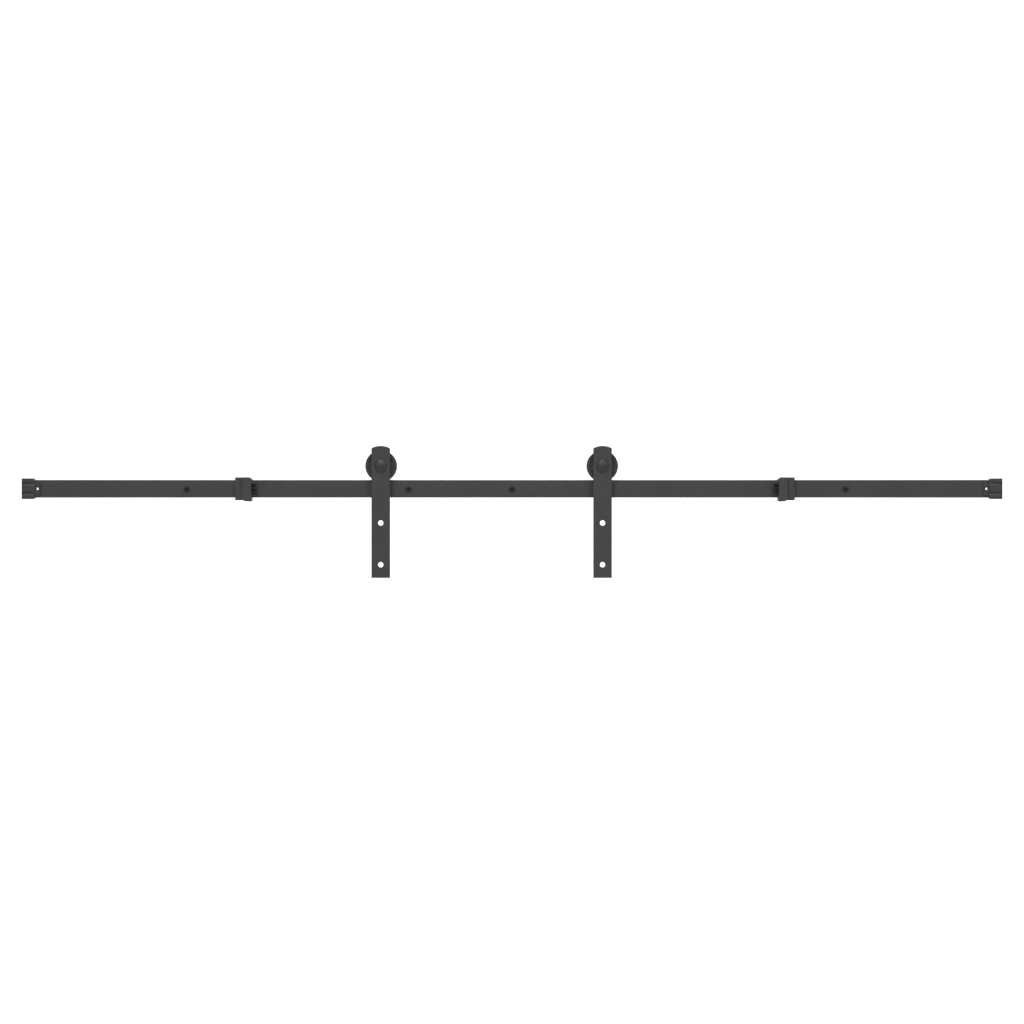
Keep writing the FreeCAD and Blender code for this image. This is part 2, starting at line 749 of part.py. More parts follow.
def make_axle_bolt(name, origin):
    """Carriage bolt: a low dome, a square neck in the strap and a plain shank."""
    bolt = new_body(f"{name}_axle_bolt")
    shank = d.bearing_bore / 2
    dome = d.dome_dia / 2
    crown = d.dome_tall - d.dome_rim
    sweep = (dome * dome + crown * crown) / (crown * 2)
    corners = [
        (0, bolt_end),
        (shank - d.bolt_point, bolt_end),
        (shank, bolt_end + d.bolt_point),
        (shank, strap_face),
        (dome, strap_face),
        (dome, strap_face + d.dome_rim),
        (0, strap_face + d.dome_tall),
    ]
    turned(bolt, corners, {5: sweep})
    neck = new_sketch(bolt, lift=strap_back)
    rectangle(neck, -shank, shank, -shank, shank)
    pad(bolt, neck, d.strap_thick)
    return place(bolt, **origin)


def make_lock_nut(name, origin):
    """Hexagon nut with bevelled corners and a round collar behind."""
    nut = new_body(f"{name}_lock_nut")
    flats = new_sketch(nut, lift=nut_back)
    hexagon(flats, 0, 0, d.nut_flats)
    pad(nut, flats, d.nut_tall)
    reach = d.nut_flats / math.sqrt(3) + 1
    inner = d.nut_flats / 2
    fall = (reach - inner) / 2
    turned(nut, [(inner, nut_front), (reach, nut_front), (reach, nut_front - fall)], cut=True)
    turned(nut, [(inner, nut_back), (reach, nut_back), (reach, nut_back + fall)], cut=True)
    collar = new_sketch(nut, lift=nut_back)
    circle(collar, 0, 0, d.nut_collar_dia)
    pad(nut, collar, d.nut_collar, backwards=True)
    thread = new_sketch(nut, lift=nut_front)
    circle(thread, 0, 0, d.bearing_bore)
    pocket(nut, thread)
    return place(nut, **origin)


def make_hanger(name, axle_x):
    """The strap, its axle bolt and everything clamped on it; local origin on the axle."""
    origin = {"x": axle_x, "z": axle_height}
    bore = d.bearing_bore
    clamped = (
        ("front_bush", d.bush_wall, strap_back - bearing_front, bearing_front),
        ("rear_bush", d.bush_wall, bearing_back - washer_front, washer_front),
        ("washer", d.washer_wide, d.washer_thick, nut_front),
    )
    pieces = [make_strap(name, origin), make_axle_bolt(name, origin), make_lock_nut(name, origin)]
    for label, wall, length, depth in clamped:
        piece = tube(f"{name}_{label}", bore + wall * 2, bore, length)
        pieces.append(place(piece, y=-depth, **origin))
    inner_ring = bearing_ring(f"{name}_bearing_inner_ring", bore / 2, inner_shoulder)
    pieces.append(place(inner_ring, **origin))
    return pieces


def bearing_ring(label, plain_radius, shoulder):
    """A race: plain on one side, with a ball groove on the side facing the balls."""
    body = new_body(label)
    groove = ball_radius + d.ball_gap
    half_groove = root(groove * groove - race_shoulder * race_shoulder)
    corners = [
        (plain_radius, bearing_back),
        (shoulder, bearing_back),
        (shoulder, rail_mid - half_groove),
        (shoulder, rail_mid + half_groove),
        (shoulder, bearing_front),
        (plain_radius, bearing_front),
    ]
    inwards = plain_radius.value < shoulder.value
    turned(body, corners, {2: -groove if inwards else groove})
    return body


def make_wheel(name, axle_x):
    """Grooved wheel, the bearing ring pressed in it and the bearing's shields."""
    origin = {"x": axle_x, "z": axle_height}
    tread = d.tread_dia / 2
    rim = tread + d.flange_tall
    bore = d.bearing_dia / 2
    hub = bore + d.hub_wall
    mouth = bore - d.hub_lip
    sink = d.web_sink
    slope = sink / 2
    half_groove = d.rail_thick / 2 + d.groove_side
    half_mouth = half_groove + d.groove_flare
    ring_in = rim - d.rim_ring
    edge = d.wheel_edge

    wheel = new_body(f"{name}_wheel")
    corners = [
        (bore, wheel_back),
        (hub, wheel_back),
        (hub + slope, wheel_back + sink),
        (ring_in - slope, wheel_back + sink),
        (ring_in, wheel_back),
        (rim - edge, wheel_back),
        (rim, wheel_back + edge),
        (rim, rail_mid - half_mouth),
        (tread, rail_mid - half_groove),
        (tread, rail_mid + half_groove),
        (rim, rail_mid + half_mouth),
        (rim, wheel_front - edge),
        (rim - edge, wheel_front),
        (ring_in, wheel_front),
        (ring_in - slope, wheel_front - sink),
        (hub + slope, wheel_front - sink),
        (hub, wheel_front),
        (mouth, wheel_front),
        (mouth, bearing_front),
        (bore, bearing_front),
    ]
    turned(wheel, corners)
    place(wheel, **origin)

    outer_ring = bearing_ring(f"{name}_bearing_outer_ring", bore, outer_shoulder)
    place(outer_ring, **origin)

    outer = outer_shoulder * 2
    inner = (inner_shoulder + d.shield_gap) * 2
    shields = []
    seats = (bearing_back + d.shield_in, bearing_front - d.shield_in - d.shield_thick)
    for number, seat in enumerate(seats, start=1):
        shield = tube(f"{name}_shield_{number}", outer, inner, d.shield_thick)
        shields.append(place(shield, y=-seat, **origin))
    return [wheel, outer_ring, group(f"{name}_bearing_shields", shields)]


def make_ball_set(name, axle_x):
    """The bearing's balls, and the cage that spaces them."""
    origin = {"x": axle_x, "z": axle_height}
    balls = []
    windows = []
    for number in range(1, BALL_COUNT + 1):
        angle = 2 * math.pi * number / BALL_COUNT
        right, up = math.cos(angle), math.sin(angle)
        ball = doc.addObject("Part::Sphere", f"{name}_ball_{number}")
        bind(ball, "Radius", ball_radius)
        x = axle_x + ball_circle * right
        z = axle_height + ball_circle * up
        balls.append(place(ball, x=x, y=-rail_mid, z=z))
        window = doc.addObject("Part::Cylinder", f"{name}_cage_window_{number}")
        bind(window, "Radius", ball_radius + d.cage_play)
        bind(window, "Height", ball_circle)
        x = axle_x + ball_circle / 2 * right
        z = axle_height + ball_circle / 2 * up
        outward = FreeCAD.Rotation(Z_AXIS, FreeCAD.Vector(right, 0, up))
        windows.append(place(window, x=x, y=-rail_mid, z=z, turn=outward))
    cage_half = bearing_space * d.cage_share
    cage_wide = d.bearing_wide - (d.shield_in + d.shield_thick + d.cage_end_gap) * 2
    outer = (ball_circle + cage_half) * 2
    inner = (ball_circle - cage_half) * 2
    ring = tube(f"{name}_cage_ring", outer, inner, cage_wide)
    place(ring, y=-(rail_mid - cage_wide / 2), **origin)
    cage = doc.addObject("Part::Cut", f"{name}_bearing_cage")
    cage.Label = f"{name}_bearing_cage"
    cage.Base = ring
    cage.Tool = group(f"{name}_cage_windows", windows)
    return [group(f"{name}_bearing_balls", balls), cage]


def check(pieces):
    """Stops the build on any failed object or bad shape."""
    doc.recompute()
    for item in doc.Objects:
        if {"Invalid", "Error"} & set(item.State):
            raise RuntimeError(f"{item.Name} ({item.Label}) failed: {item.State}")
    for piece in pieces:
        if piece.Shape.isNull() or not piece.Shape.isValid():
            raise RuntimeError(f"{piece.Label} has a bad shape")
        if not piece.Shape.Solids:
            raise RuntimeError(f"{piece.Label} holds no solid")


def export(pieces):
    os.makedirs(EXPORT_FOLDER, exist_ok=True)
    for piece in pieces:
        piece.Shape.exportStep(os.path.join(EXPORT_FOLDER, f"{piece.Label}.step"))
        print(f"{piece.Label}: {len(piece.Shape.Solids)} solids, {piece.Shape.Volume:.0f} mm3")


def main():
    pieces = [make_rail()]
    pieces += make_spacers()
    pieces.append(make_wall_bolts())
    pieces.append(make_end_cap("left_end_cap", -1))
    pieces.append(make_end_cap("right_end_cap", 1))
    pieces += make_stop("left", -1, d.stop_left)
    pieces += make_stop("right", 1, d.stop_right)
    for name, axle_x in (("left", -d.hanger_left), ("right", d.hanger_right)):
        pieces += make_hanger(name, axle_x)
        pieces += make_wheel(name, axle_x)
        pieces += make_ball_set(name, axle_x)
    check(pieces)
    export(pieces)


main()
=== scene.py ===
import math

import bmesh
import bpy
from bpy.props import FloatProperty, FloatVectorProperty, IntProperty, PointerProperty
from mathutils import Matrix, Vector


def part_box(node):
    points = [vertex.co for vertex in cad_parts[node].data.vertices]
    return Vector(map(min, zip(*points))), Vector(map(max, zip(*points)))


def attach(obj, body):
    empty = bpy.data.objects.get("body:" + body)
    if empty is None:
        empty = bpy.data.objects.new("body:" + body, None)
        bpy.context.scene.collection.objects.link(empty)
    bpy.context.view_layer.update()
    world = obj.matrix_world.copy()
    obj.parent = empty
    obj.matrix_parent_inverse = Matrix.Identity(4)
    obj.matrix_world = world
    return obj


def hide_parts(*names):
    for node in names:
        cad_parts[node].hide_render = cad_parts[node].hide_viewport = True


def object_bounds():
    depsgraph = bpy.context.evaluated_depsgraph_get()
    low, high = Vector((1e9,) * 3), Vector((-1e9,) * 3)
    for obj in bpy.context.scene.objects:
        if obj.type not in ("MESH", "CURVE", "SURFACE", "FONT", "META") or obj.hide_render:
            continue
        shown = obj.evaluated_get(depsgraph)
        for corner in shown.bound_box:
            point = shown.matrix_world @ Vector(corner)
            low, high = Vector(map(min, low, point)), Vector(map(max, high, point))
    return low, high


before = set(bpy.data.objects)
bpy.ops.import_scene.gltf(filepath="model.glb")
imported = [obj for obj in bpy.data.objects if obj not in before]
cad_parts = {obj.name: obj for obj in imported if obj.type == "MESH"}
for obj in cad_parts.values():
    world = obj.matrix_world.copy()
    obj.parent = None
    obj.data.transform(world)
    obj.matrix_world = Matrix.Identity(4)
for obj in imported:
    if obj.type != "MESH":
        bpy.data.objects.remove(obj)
cad_low, cad_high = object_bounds()

bl_info = {
    "name": "Sliding door hardware",
    "version": (1, 0, 0),
    "blender": (4, 5, 0),
    "location": "3D View > Sidebar > Hardware",
    "description": "Finishes the pieces of a flat-rail sliding door set and builds its studio",
    "category": "Object",
}

# Axes: X along the rail, Y into the wall, Z up, in metres. A turned piece is drawn as
# (radius, depth) corners about its own z axis; for the axles, depth is the way out of the wall.

SIDES = ("left", "right")
OUT_OF_WALL = Matrix.Rotation(math.radians(90), 4, "X")
INTO_WALL = Matrix.Rotation(math.radians(-90), 4, "X")
UPRIGHT = Matrix.Identity(4)
# Circle that a profile is swept round, and how near two points are to be one
PATH_RADIUS = 1.0
FINE_MERGE = 2e-6
SHARP_ANGLE = math.radians(32)

# Steps of the meshes: facets round a screw, a lobe and a stem, points in a curve or a turn
SCREW_FACETS = 48
LOBE_FACETS = 48
STEM_FACETS = 32
FILLET_STEPS = 3
RACE_STEPS = 10
DOME_STEPS = 14
THREAD_STEPS = 28
RIDGE_SIDES = 4
BALL_SPLITS = 4
SWEEP_STEPS = 24
BEVEL_SAMPLES = 6

# Broken edge of a screw; smaller and larger steps on a screw are so many of it
BREAK = 0.0002

# Shares of a thread's radius that its core takes
TIMBER_CORE = 0.78
PLATE_CORE = 0.8
SET_CORE = 0.84

# Sleeve that carries the axle's thread, as a share of the core it hides in
SLEEVE = 0.9

# Lengths that decide how many turns a thread has; a property would round them
PLATE_PITCH = 0.0005
SET_PITCH = 0.0008
AXLE_RADIUS = 0.006
AXLE_DEEP = 0.0006
AXLE_POINT = 0.001

# Timber point, as shares of the core and of the point's length
POINT_TIP = 0.12
POINT_WIDE = 0.85
POINT_LONG = 0.8

# Sockets, as shares of half their flats
BOLT_MOUTH = 1.17
SMALL_MOUTH = 1.35
SOCKET_FLOOR = 0.6

# Outline of a bumper lobe, as shares of its radius and of its reach
LOBE_OUTLINE = ((0, 0), (0.93, 0), (1, 0.12), (1, 0.72), (0.82, 0.92), (0.5, 1), (0, 1))

# Part of a noise's range that a finish uses, and how an edge's rounded normal faces its side
NOISE_LOW, NOISE_HIGH = 0.3, 0.7
EDGE_FLAT, EDGE_FULL = 0.999, 0.93

# Where the lamps stand and how wide they are
KEY_PLACE = (-1.2, -2.3, 3.5)
FILL_PLACE = (2.0, -2.5, 2.8)
FRONT_LAMP = 1.8
BACK_HIGH_PLACE = (0, 1.6, 3.4)
BACK_LOW_PLACE = (0, 0.9, 3.4)
BACK_HIGH_AIM = 0.6
BACK_LOW_AIM = (0, 3.2, -1.4)
BACK_LAMP = 2.4
SENSOR = 36
FAR_CLIP = 100


def length(name, description, default):
    return FloatProperty(
        name=name, description=description, default=default, min=0.0, unit="LENGTH"
    )


def power(name, default):
    return FloatProperty(name=name, description="Power in watts", default=default, min=0.0)


def colour(name, description, default):
    return FloatVectorProperty(
        name=name, description=description, default=default, min=0.0, max=1.0, subtype="COLOR"
    )


def share(name, description, default):
    return FloatProperty(
        name=name, description=description, default=default, min=0.0, max=1.0, subtype="FACTOR"
    )


class HardwareFinishes(bpy.types.PropertyGroup):
    """Colours and gloss of the set's finishes."""

    coat: colour("Powder coat", "Rail, straps, stops and spacers", (0.033, 0.033, 0.033))
    coat_rough: share("Powder coat roughness", "Matt powder coat", 0.58)
    steel: colour("Black steel", "Bolts, nuts, washers and bushes", (0.026, 0.0255, 0.025))
    steel_rough: share("Black steel roughness", "Black oxide over turned steel", 0.64)
    # Painted shade: socket faces keep only this share of the steel's colour, standing in for the
    # shade inside the recess.
    painted_recess_shade: share("Recess", "How much of the steel's colour its sockets keep", 0.15)
    nylon: colour("Wheel nylon", "Turned black nylon", (0.03, 0.03, 0.0305))
    nylon_rough: share("Wheel nylon roughness", "Turned nylon", 0.5)
    plastic: colour("Cap plastic", "Moulded end caps", (0.033, 0.033, 0.033))
    plastic_rough: share("Cap plastic roughness", "Moulded end caps", 0.46)
    rubber: colour("Rubber", "Stop bumpers", (0.009, 0.009, 0.009))
    rubber_rough: share("Rubber roughness", "Stop bumpers", 0.82)
    rubber_gloss: share("Rubber gloss", "Specular level of the bumpers", 0.25)
    bearing: colour("Bearing steel", "Rings, shields and balls", (0.42, 0.42, 0.43))
    bearing_rough: share("Bearing steel roughness", "Ground steel", 0.32)
    cage: colour("Ball cage", "Moulded polyamide", (0.14, 0.11, 0.075))
    cage_rough: share("Ball cage roughness", "Moulded polyamide", 0.45)
    paper: colour("Backdrop paper", "White studio paper", (0.82, 0.82, 0.82))
    paper_rough: share("Backdrop paper roughness", "White studio paper", 0.9)


class HardwareFasteners(bpy.types.PropertyGroup):
    """Sizes of the screws, bolts and their threads."""

    bolt_key: length("Wall bolt key", "Socket across flats", 0.010)
    bolt_key_deep: length("Wall bolt key depth", "Depth of the socket", 0.003)
    bolt_head: length("Wall bolt head", "Diameter of the countersunk head", 0.02)
    bolt_thread: length("Wall bolt thread", "Outside diameter in the wall", 0.01)
    bolt_neck: length("Wall bolt neck", "Plain shank in the spacer", 0.009)
    bolt_point: length("Wall bolt point", "Length of the tip", 0.009)
    bolt_pitch: length("Wall bolt pitch", "Coarse thread for timber", 0.0035)
    bolt_run_out: length("Wall bolt run-out", "Taper from the thread to the neck", 0.0015)
    plate_screw: length("Plate screw", "Thread diameter", 0.003)
    plate_head: length("Plate screw head", "Head diameter", 0.0056)
    plate_key: length("Plate screw key", "Socket across flats", 0.0018)
    set_key: length("Set screw key", "Socket across flats", 0.0025)
    axle_pitch: length("Axle bolt pitch", "Thread of a 12 mm bolt", 0.00175)
    dome_rim: length("Dome rim", "Straight edge under the dome", 0.0012)


class HardwareWheels(bpy.types.PropertyGroup):
    """Sizes of the wheels and their bearings."""

    flange_tall: length("Flange", "Flange above the groove", 0.0042)
    groove_wide: length("Groove", "Width at the tread", 0.007)
    groove_mouth: length("Groove mouth", "Width between the flanges' rims", 0.010)
    rim_ring: length("Rim", "Width of the raised rim", 0.0065)
    web_sink: length("Web", "Depth of the web below the rim", 0.0015)
    hub_wall: length("Hub wall", "Raised hub round the bearing", 0.003)
    hub_lip: length("Hub lip", "Lip in front of the bearing", 0.0025)
    rounding: length("Rounding", "Turned corners of the wheel", 0.0007)
    ring_rounding: length("Ring rounding", "Corners of the bearing's rings", 0.0004)
    ball_gap: length("Ball gap", "Gap between ball and race", 0.00004)
    shield_sheet: length("Shield sheet", "Thickness of the pressed shields", 0.00025)
    shield_waist: share("Shield waist", "Where the shield steps in, from its bore", 0.6)
    balls: IntProperty(name="Balls", description="Balls in each bearing", default=8, min=3)
    facets: IntProperty(name="Facets", description="Sides of a turned piece", default=128, min=12)


class HardwareBumpers(bpy.types.PropertyGroup):
    """Sizes of the stops' rubber bumpers."""

    lobe: length("Lobe", "Diameter of one lobe", 0.011)
    pitch: length("Spacing", "Between two lobes", 0.010)
    stem: length("Stem", "Diameter of the stem in the stop", 0.007)
    rounding: length("Rounding", "Rounded tip of each lobe", 0.0028)
    lobes: IntProperty(name="Lobes", description="Lobes in the row", default=3, min=1)


class HardwareStage(bpy.types.PropertyGroup):
    """The studio round the set."""

    lens: FloatProperty(name="Lens", description="Focal length in mm", default=63.45, min=1.0)
    away: length("Camera distance", "From the rail's middle to the camera", 4.08)
    floor_drop: length("Floor", "How far the floor lies under the set", 1.25)
    wall_back: length("Backdrop", "How far the backdrop stands behind the set", 6.5)
    sweep: length("Sweep", "Radius between floor and backdrop", 3.0)
    floor_front: length("Floor front", "How far the floor comes forward", 9.0)
    sweep_half: length("Sweep half width", "Half the width of floor and backdrop", 12.0)
    sweep_top: length("Backdrop top", "Height of the backdrop", 9.0)
    drop: length("Camera drop", "How far the camera is below the middle of the set", 0.0003)
    key: power("Key light", 110.0)
    fill: power("Fill light", 54.0)
    back: power("Back lights", 225.0)
    sky: share("Sky", "Strength of the white surround", 0.42)


# Geometry Nodes


class Nodes:
    """A node tree that is built one node at a time, with inputs by name or number."""

    def node(self, kind, wires=None, values=None, **settings):
        """A node with its settings, its values and the sockets that feed it."""
        made = self.tree.nodes.new(kind)
        for key, value in settings.items():
            setattr(made, key, value)
        for key, value in (values or {}).items():
            self.socket(made, key).default_value = value
        for key, source in (wires or {}).items():
            self.link(source, made, key)
        return made

    def link(self, source, node, key=0):
        self.tree.links.new(source, self.socket(node, key))

    @staticmethod
    def socket(node, key):
        if isinstance(key, int):
            return node.inputs[key]
        return next(item for item in node.inputs if item.name == key and item.enabled)


class Tree(Nodes):
    """A Geometry Nodes tree with named inputs."""

    def __init__(self, name, inputs):
        self.tree = bpy.data.node_groups.new(name, "GeometryNodeTree")
        face = self.tree.interface
        face.new_socket("Geometry", in_out="INPUT", socket_type="NodeSocketGeometry")
        for label, (kind, value) in inputs.items():
            socket = face.new_socket(label, in_out="INPUT", socket_type=f"NodeSocket{kind}")
            if value is not None:
                socket.default_value = value
        face.new_socket("Geometry", in_out="OUTPUT", socket_type="NodeSocketGeometry")
        self.start = self.tree.nodes.new("NodeGroupInput")
        self.end = self.tree.nodes.new("NodeGroupOutput")

    def given(self, label):
        return self.start.outputs[label]

    def finish(self, geometry):
        """Realizes the instances, gives the material and ends the tree."""
        real = self.node("GeometryNodeRealizeInstances", {"Geometry": geometry})
        painted = self.node(
            "GeometryNodeSetMaterial",
            {"Geometry": real.outputs[0], "Material": self.given("Material")},
        )
        self.link(painted.outputs[0], self.end)
        return self.tree


def turned_tree():
    """Turns a profile curve about z, keeps its own coordinates, and sets out a row of copies."""
    tree = Tree(
        "Turned piece",
        {
            "Facets": ("Int", 96),
            "Rounding": ("Float", 0.0005),
            "Copies": ("Int", 1),
            "Spacing": ("Vector", None),
            "Material": ("Material", None),
        },
    )
    rounded = tree.node(
        "GeometryNodeFilletCurve",
        {"Curve": tree.given("Geometry"), "Radius": tree.given("Rounding")},
        {"Count": FILLET_STEPS, "Limit Radius": True},
        mode="POLY",
    )
    path = tree.node(
        "GeometryNodeCurvePrimitiveCircle",
        {"Resolution": tree.given("Facets")},
        {"Radius": PATH_RADIUS},
    )
    skin = tree.node(
        "GeometryNodeCurveToMesh",
        {"Curve": path.outputs[0], "Profile Curve": rounded.outputs[0]},
    )
    closed = tree.node(
        "GeometryNodeMergeByDistance", {"Geometry": skin.outputs[0]}, {"Distance": FINE_MERGE}
    )
    place = tree.node("GeometryNodeInputPosition")
    marked = tree.node(
        "GeometryNodeStoreNamedAttribute",
        {"Geometry": closed.outputs[0], "Value": place.outputs[0]},
        {"Name": "turned"},
        data_type="FLOAT_VECTOR",
        domain="POINT",
    )
    row = tree.node(
        "GeometryNodeMeshLine",
        {"Count": tree.given("Copies"), "Offset": tree.given("Spacing")},
    )
    copies = tree.node(
        "GeometryNodeInstanceOnPoints",
        {"Points": row.outputs[0], "Instance": marked.outputs[0]},
    )
    return tree.finish(copies.outputs[0])


def screws_tree():
    """Winds a thread round a blank and sets one such screw at each point."""
    tree = Tree(
        "Threaded screws",
        {
            "Blank": ("Object", None),
            "Thread radius": ("Float", 0.005),
            "Thread turns": ("Float", 10.0),
            "Thread length": ("Float", 0.03),
            "Thread start": ("Vector", None),
            "Ridge": ("Float", 0.0004),
            "Turn": ("Rotation", None),
            "Material": ("Material", None),
        },
    )
    helix = tree.node(
        "GeometryNodeCurveSpiral",
        {
            "Rotations": tree.given("Thread turns"),
            "Start Radius": tree.given("Thread radius"),
            "End Radius": tree.given("Thread radius"),
            "Height": tree.given("Thread length"),
        },
        {"Resolution": THREAD_STEPS},
    )
    section = tree.node(
        "GeometryNodeCurvePrimitiveCircle",
        {"Radius": tree.given("Ridge")},
        {"Resolution": RIDGE_SIDES},
    )
    ridge = tree.node(
        "GeometryNodeCurveToMesh",
        {"Curve": helix.outputs[0], "Profile Curve": section.outputs[0]},
        {"Fill Caps": True},
    )
    lifted = tree.node(
        "GeometryNodeTransform",
        {"Geometry": ridge.outputs[0], "Translation": tree.given("Thread start")},
    )
    blank = tree.node("GeometryNodeObjectInfo", {"Object": tree.given("Blank")})
    screw = tree.node("GeometryNodeJoinGeometry", {"Geometry": blank.outputs["Geometry"]})
    tree.link(lifted.outputs[0], screw)
    copies = tree.node(
        "GeometryNodeInstanceOnPoints",
        {
            "Points": tree.given("Geometry"),
            "Instance": screw.outputs[0],
            "Rotation": tree.given("Turn"),
        },
    )
    return tree.finish(copies.outputs[0])


def balls_tree():
    """A ring of balls about z."""
    tree = Tree(
        "Ring of balls",
        {
            "Balls": ("Int", 8),
            "Circle": ("Float", 0.011),
            "Ball radius": ("Float", 0.003),
            "Material": ("Material", None),
        },
    )
    ring = tree.node(
        "GeometryNodeMeshCircle",
        {"Vertices": tree.given("Balls"), "Radius": tree.given("Circle")},
    )
    ball = tree.node(
        "GeometryNodeMeshIcoSphere",
        {"Radius": tree.given("Ball radius")},
        {"Subdivisions": BALL_SPLITS},
    )
    copies = tree.node(
        "GeometryNodeInstanceOnPoints",
        {"Points": ring.outputs[0], "Instance": ball.outputs[0]},
    )
    return tree.finish(copies.outputs[0])


def tree_named(name, maker):
    return bpy.data.node_groups.get(name) or maker()


def run_tree(group, source, values):
    """The tree's result on a source object, as a plain mesh; the source is then removed."""
    modifier = source.modifiers.new(group.name, "NODES")
    modifier.node_group = group
    items = [item for item in group.interface.items_tree if item.item_type == "SOCKET"]
    sockets = {item.name: item.identifier for item in items if item.in_out == "INPUT"}
    for label, value in values.items():
        modifier[sockets[label]] = value
    bpy.context.view_layer.update()
    graph = bpy.context.evaluated_depsgraph_get()
    mesh = bpy.data.meshes.new_from_object(source.evaluated_get(graph), depsgraph=graph)
    if not mesh.polygons:
        raise RuntimeError(f"{group.name} made nothing")
    source.modifiers.clear()
    bpy.data.objects.remove(source)
    return mesh


def linked(name, data):
    made = bpy.data.objects.new(name, data)
    bpy.context.scene.collection.objects.link(made)
    return made


# Meshes


def profile_curve(corners, cyclic):
    """The (radius, depth) corners as a curve that the turned tree can sweep."""
    data = bpy.data.curves.new("profile", "CURVE")
    data.dimensions = "3D"
    spline = data.splines.new("POLY")
    spline.points.add(len(corners) - 1)
    for point, (radius, depth) in zip(spline.points, corners):
        point.co = (radius - PATH_RADIUS, -depth, 0, 1)
    spline.use_cyclic_u = cyclic
    return linked("profile", data)


def turned(corners, material, facets, rounding, cyclic=True, copies=1, spacing=(0, 0, 0)):
    """A piece turned about z; an open profile runs from axis to axis."""
    values = {
        "Facets": facets,
        "Rounding": rounding,
        "Copies": copies,
        "Spacing": spacing,
        "Material": material,
    }
    group = tree_named("Turned piece", turned_tree)
    return run_tree(group, profile_curve(corners, cyclic), values)


def arc(centre, radius, start, end, steps):
    """Points (radius, depth) round a centre, from one angle to another in degrees."""
    points = []
    for step in range(steps + 1):
        angle = math.radians(start + (end - start) * step / steps)
        points.append((centre[0] + radius * math.cos(angle), centre[1] + radius * math.sin(angle)))
    return points


def ringed(rings):
    """A closed blank from (shape, size, height) rings; size is the radius or half the flats.

    Each point from the first hexagon on gets a painted-shade mask, so the finish darkens the
    socket as shade would.
    """
    shell = bmesh.new()
    painted_recess_shade = shell.verts.layers.float.new("painted_recess_shade")
    # depth carries the painted-shade mask: 0 on the outside, 1 from the first hexagon into the
    # socket.
    depth = 0.0
    loops = []
    for shape, size, height in rings:
        if shape == "hex":
            depth = 1.0
        if size == 0:
            point = shell.verts.new((0, 0, height))
            point[painted_recess_shade] = depth
            loops.append([point])
            continue
        loop = []
        for step in range(SCREW_FACETS):
            angle = 2 * math.pi * step / SCREW_FACETS
            reach = size
            if shape == "hex":
                reach = size / math.cos((angle + math.pi / 6) % (math.pi / 3) - math.pi / 6)
            point = shell.verts.new((reach * math.cos(angle), reach * math.sin(angle), height))
            point[painted_recess_shade] = depth
            loop.append(point)
        loops.append(loop)
    for below, above in zip(loops, loops[1:]):
        for step in range(SCREW_FACETS):
            after = (step + 1) % SCREW_FACETS
            if len(below) == 1:
                shell.faces.new((below[0], above[after], above[step]))
            elif len(above) == 1:
                shell.faces.new((below[step], below[after], above[0]))
            else:
                shell.faces.new((below[step], below[after], above[after], above[step]))
    mesh = bpy.data.meshes.new("blank")
    shell.to_mesh(mesh)
    shell.free()
    return mesh


def block(low, high, edge):
    """A box with rounded edges."""
    shell = bmesh.new()
    bmesh.ops.create_cube(shell, size=1)
    span = Vector(high) - Vector(low)
    middle = (Vector(high) + Vector(low)) / 2
    bmesh.ops.scale(shell, vec=span, verts=shell.verts)
    bmesh.ops.translate(shell, vec=middle, verts=shell.verts)
    bmesh.ops.bevel(shell, geom=shell.edges[:], offset=edge, segments=2, affect="EDGES")
    mesh = bpy.data.meshes.new("block")
    shell.to_mesh(mesh)
    shell.free()
    return mesh


def screws(places, turn, rings, thread, material):
    """One threaded screw at each place. thread is (radius, pitch, start, end, ridge)."""
    radius, pitch, start, end, ridge = thread
    blank = linked("blank", ringed(rings))
    points = bpy.data.meshes.new("places")
    points.from_pydata(places, [], [])
    values = {
        "Blank": blank,
        "Thread radius": radius,
        "Thread turns": (end - start) / pitch,
        "Thread length": end - start,
        "Thread start": (0, 0, start),
        "Ridge": ridge,
        "Turn": turn.to_euler(),
        "Material": material,
    }
    mesh = run_tree(tree_named("Threaded screws", screws_tree), linked("places", points), values)
    bpy.data.objects.remove(blank)
    return mesh


def finished(name, meshes, material):
    """One object from several meshes, outwards all round, smooth but for its sharp edges."""
    shell = bmesh.new()
    for mesh in meshes:
        shell.from_mesh(mesh)
    bmesh.ops.remove_doubles(shell, verts=shell.verts, dist=FINE_MERGE)
    bmesh.ops.dissolve_degenerate(shell, edges=shell.edges, dist=FINE_MERGE / 4)
    bmesh.ops.recalc_face_normals(shell, faces=shell.faces)
    whole = bpy.data.meshes.new(name)
    shell.to_mesh(whole)
    shell.free()
    whole.materials.clear()
    whole.materials.append(material)
    for face in whole.polygons:
        face.material_index = 0
    whole.shade_smooth()
    whole.set_sharp_from_angle(angle=SHARP_ANGLE)
    return linked(name, whole)


def stand_for(node, name, meshes, body, slot):
    """Makes one piece of the meshes and hands it to the frame in place of a CAD node."""
    piece = finished(name, meshes, material(slot))
    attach(piece, body)
    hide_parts(node)


def paint(names, material):
    """Gives carried-over CAD nodes their finish."""
    for name in names:
        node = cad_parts[name]
        if not node.material_slots:
            node.data.materials.append(material)
        for slot in node.material_slots:
            slot.material = material


def box_of(node):
    low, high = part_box(node)
    return Vector(low), Vector(high)


def spacers():
    return sorted(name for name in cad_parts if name.startswith("wall_spacer_"))


def axis_of(node):
    """Where the axis of a round piece, along Y, crosses the plane Y = 0."""
    low, high = box_of(node)
    return Vector(((low.x + high.x) / 2, 0, (low.z + high.z) / 2))


def moved(mesh, turn, place):
    mesh.transform(Matrix.Translation(place) @ turn)
    return mesh


# Materials


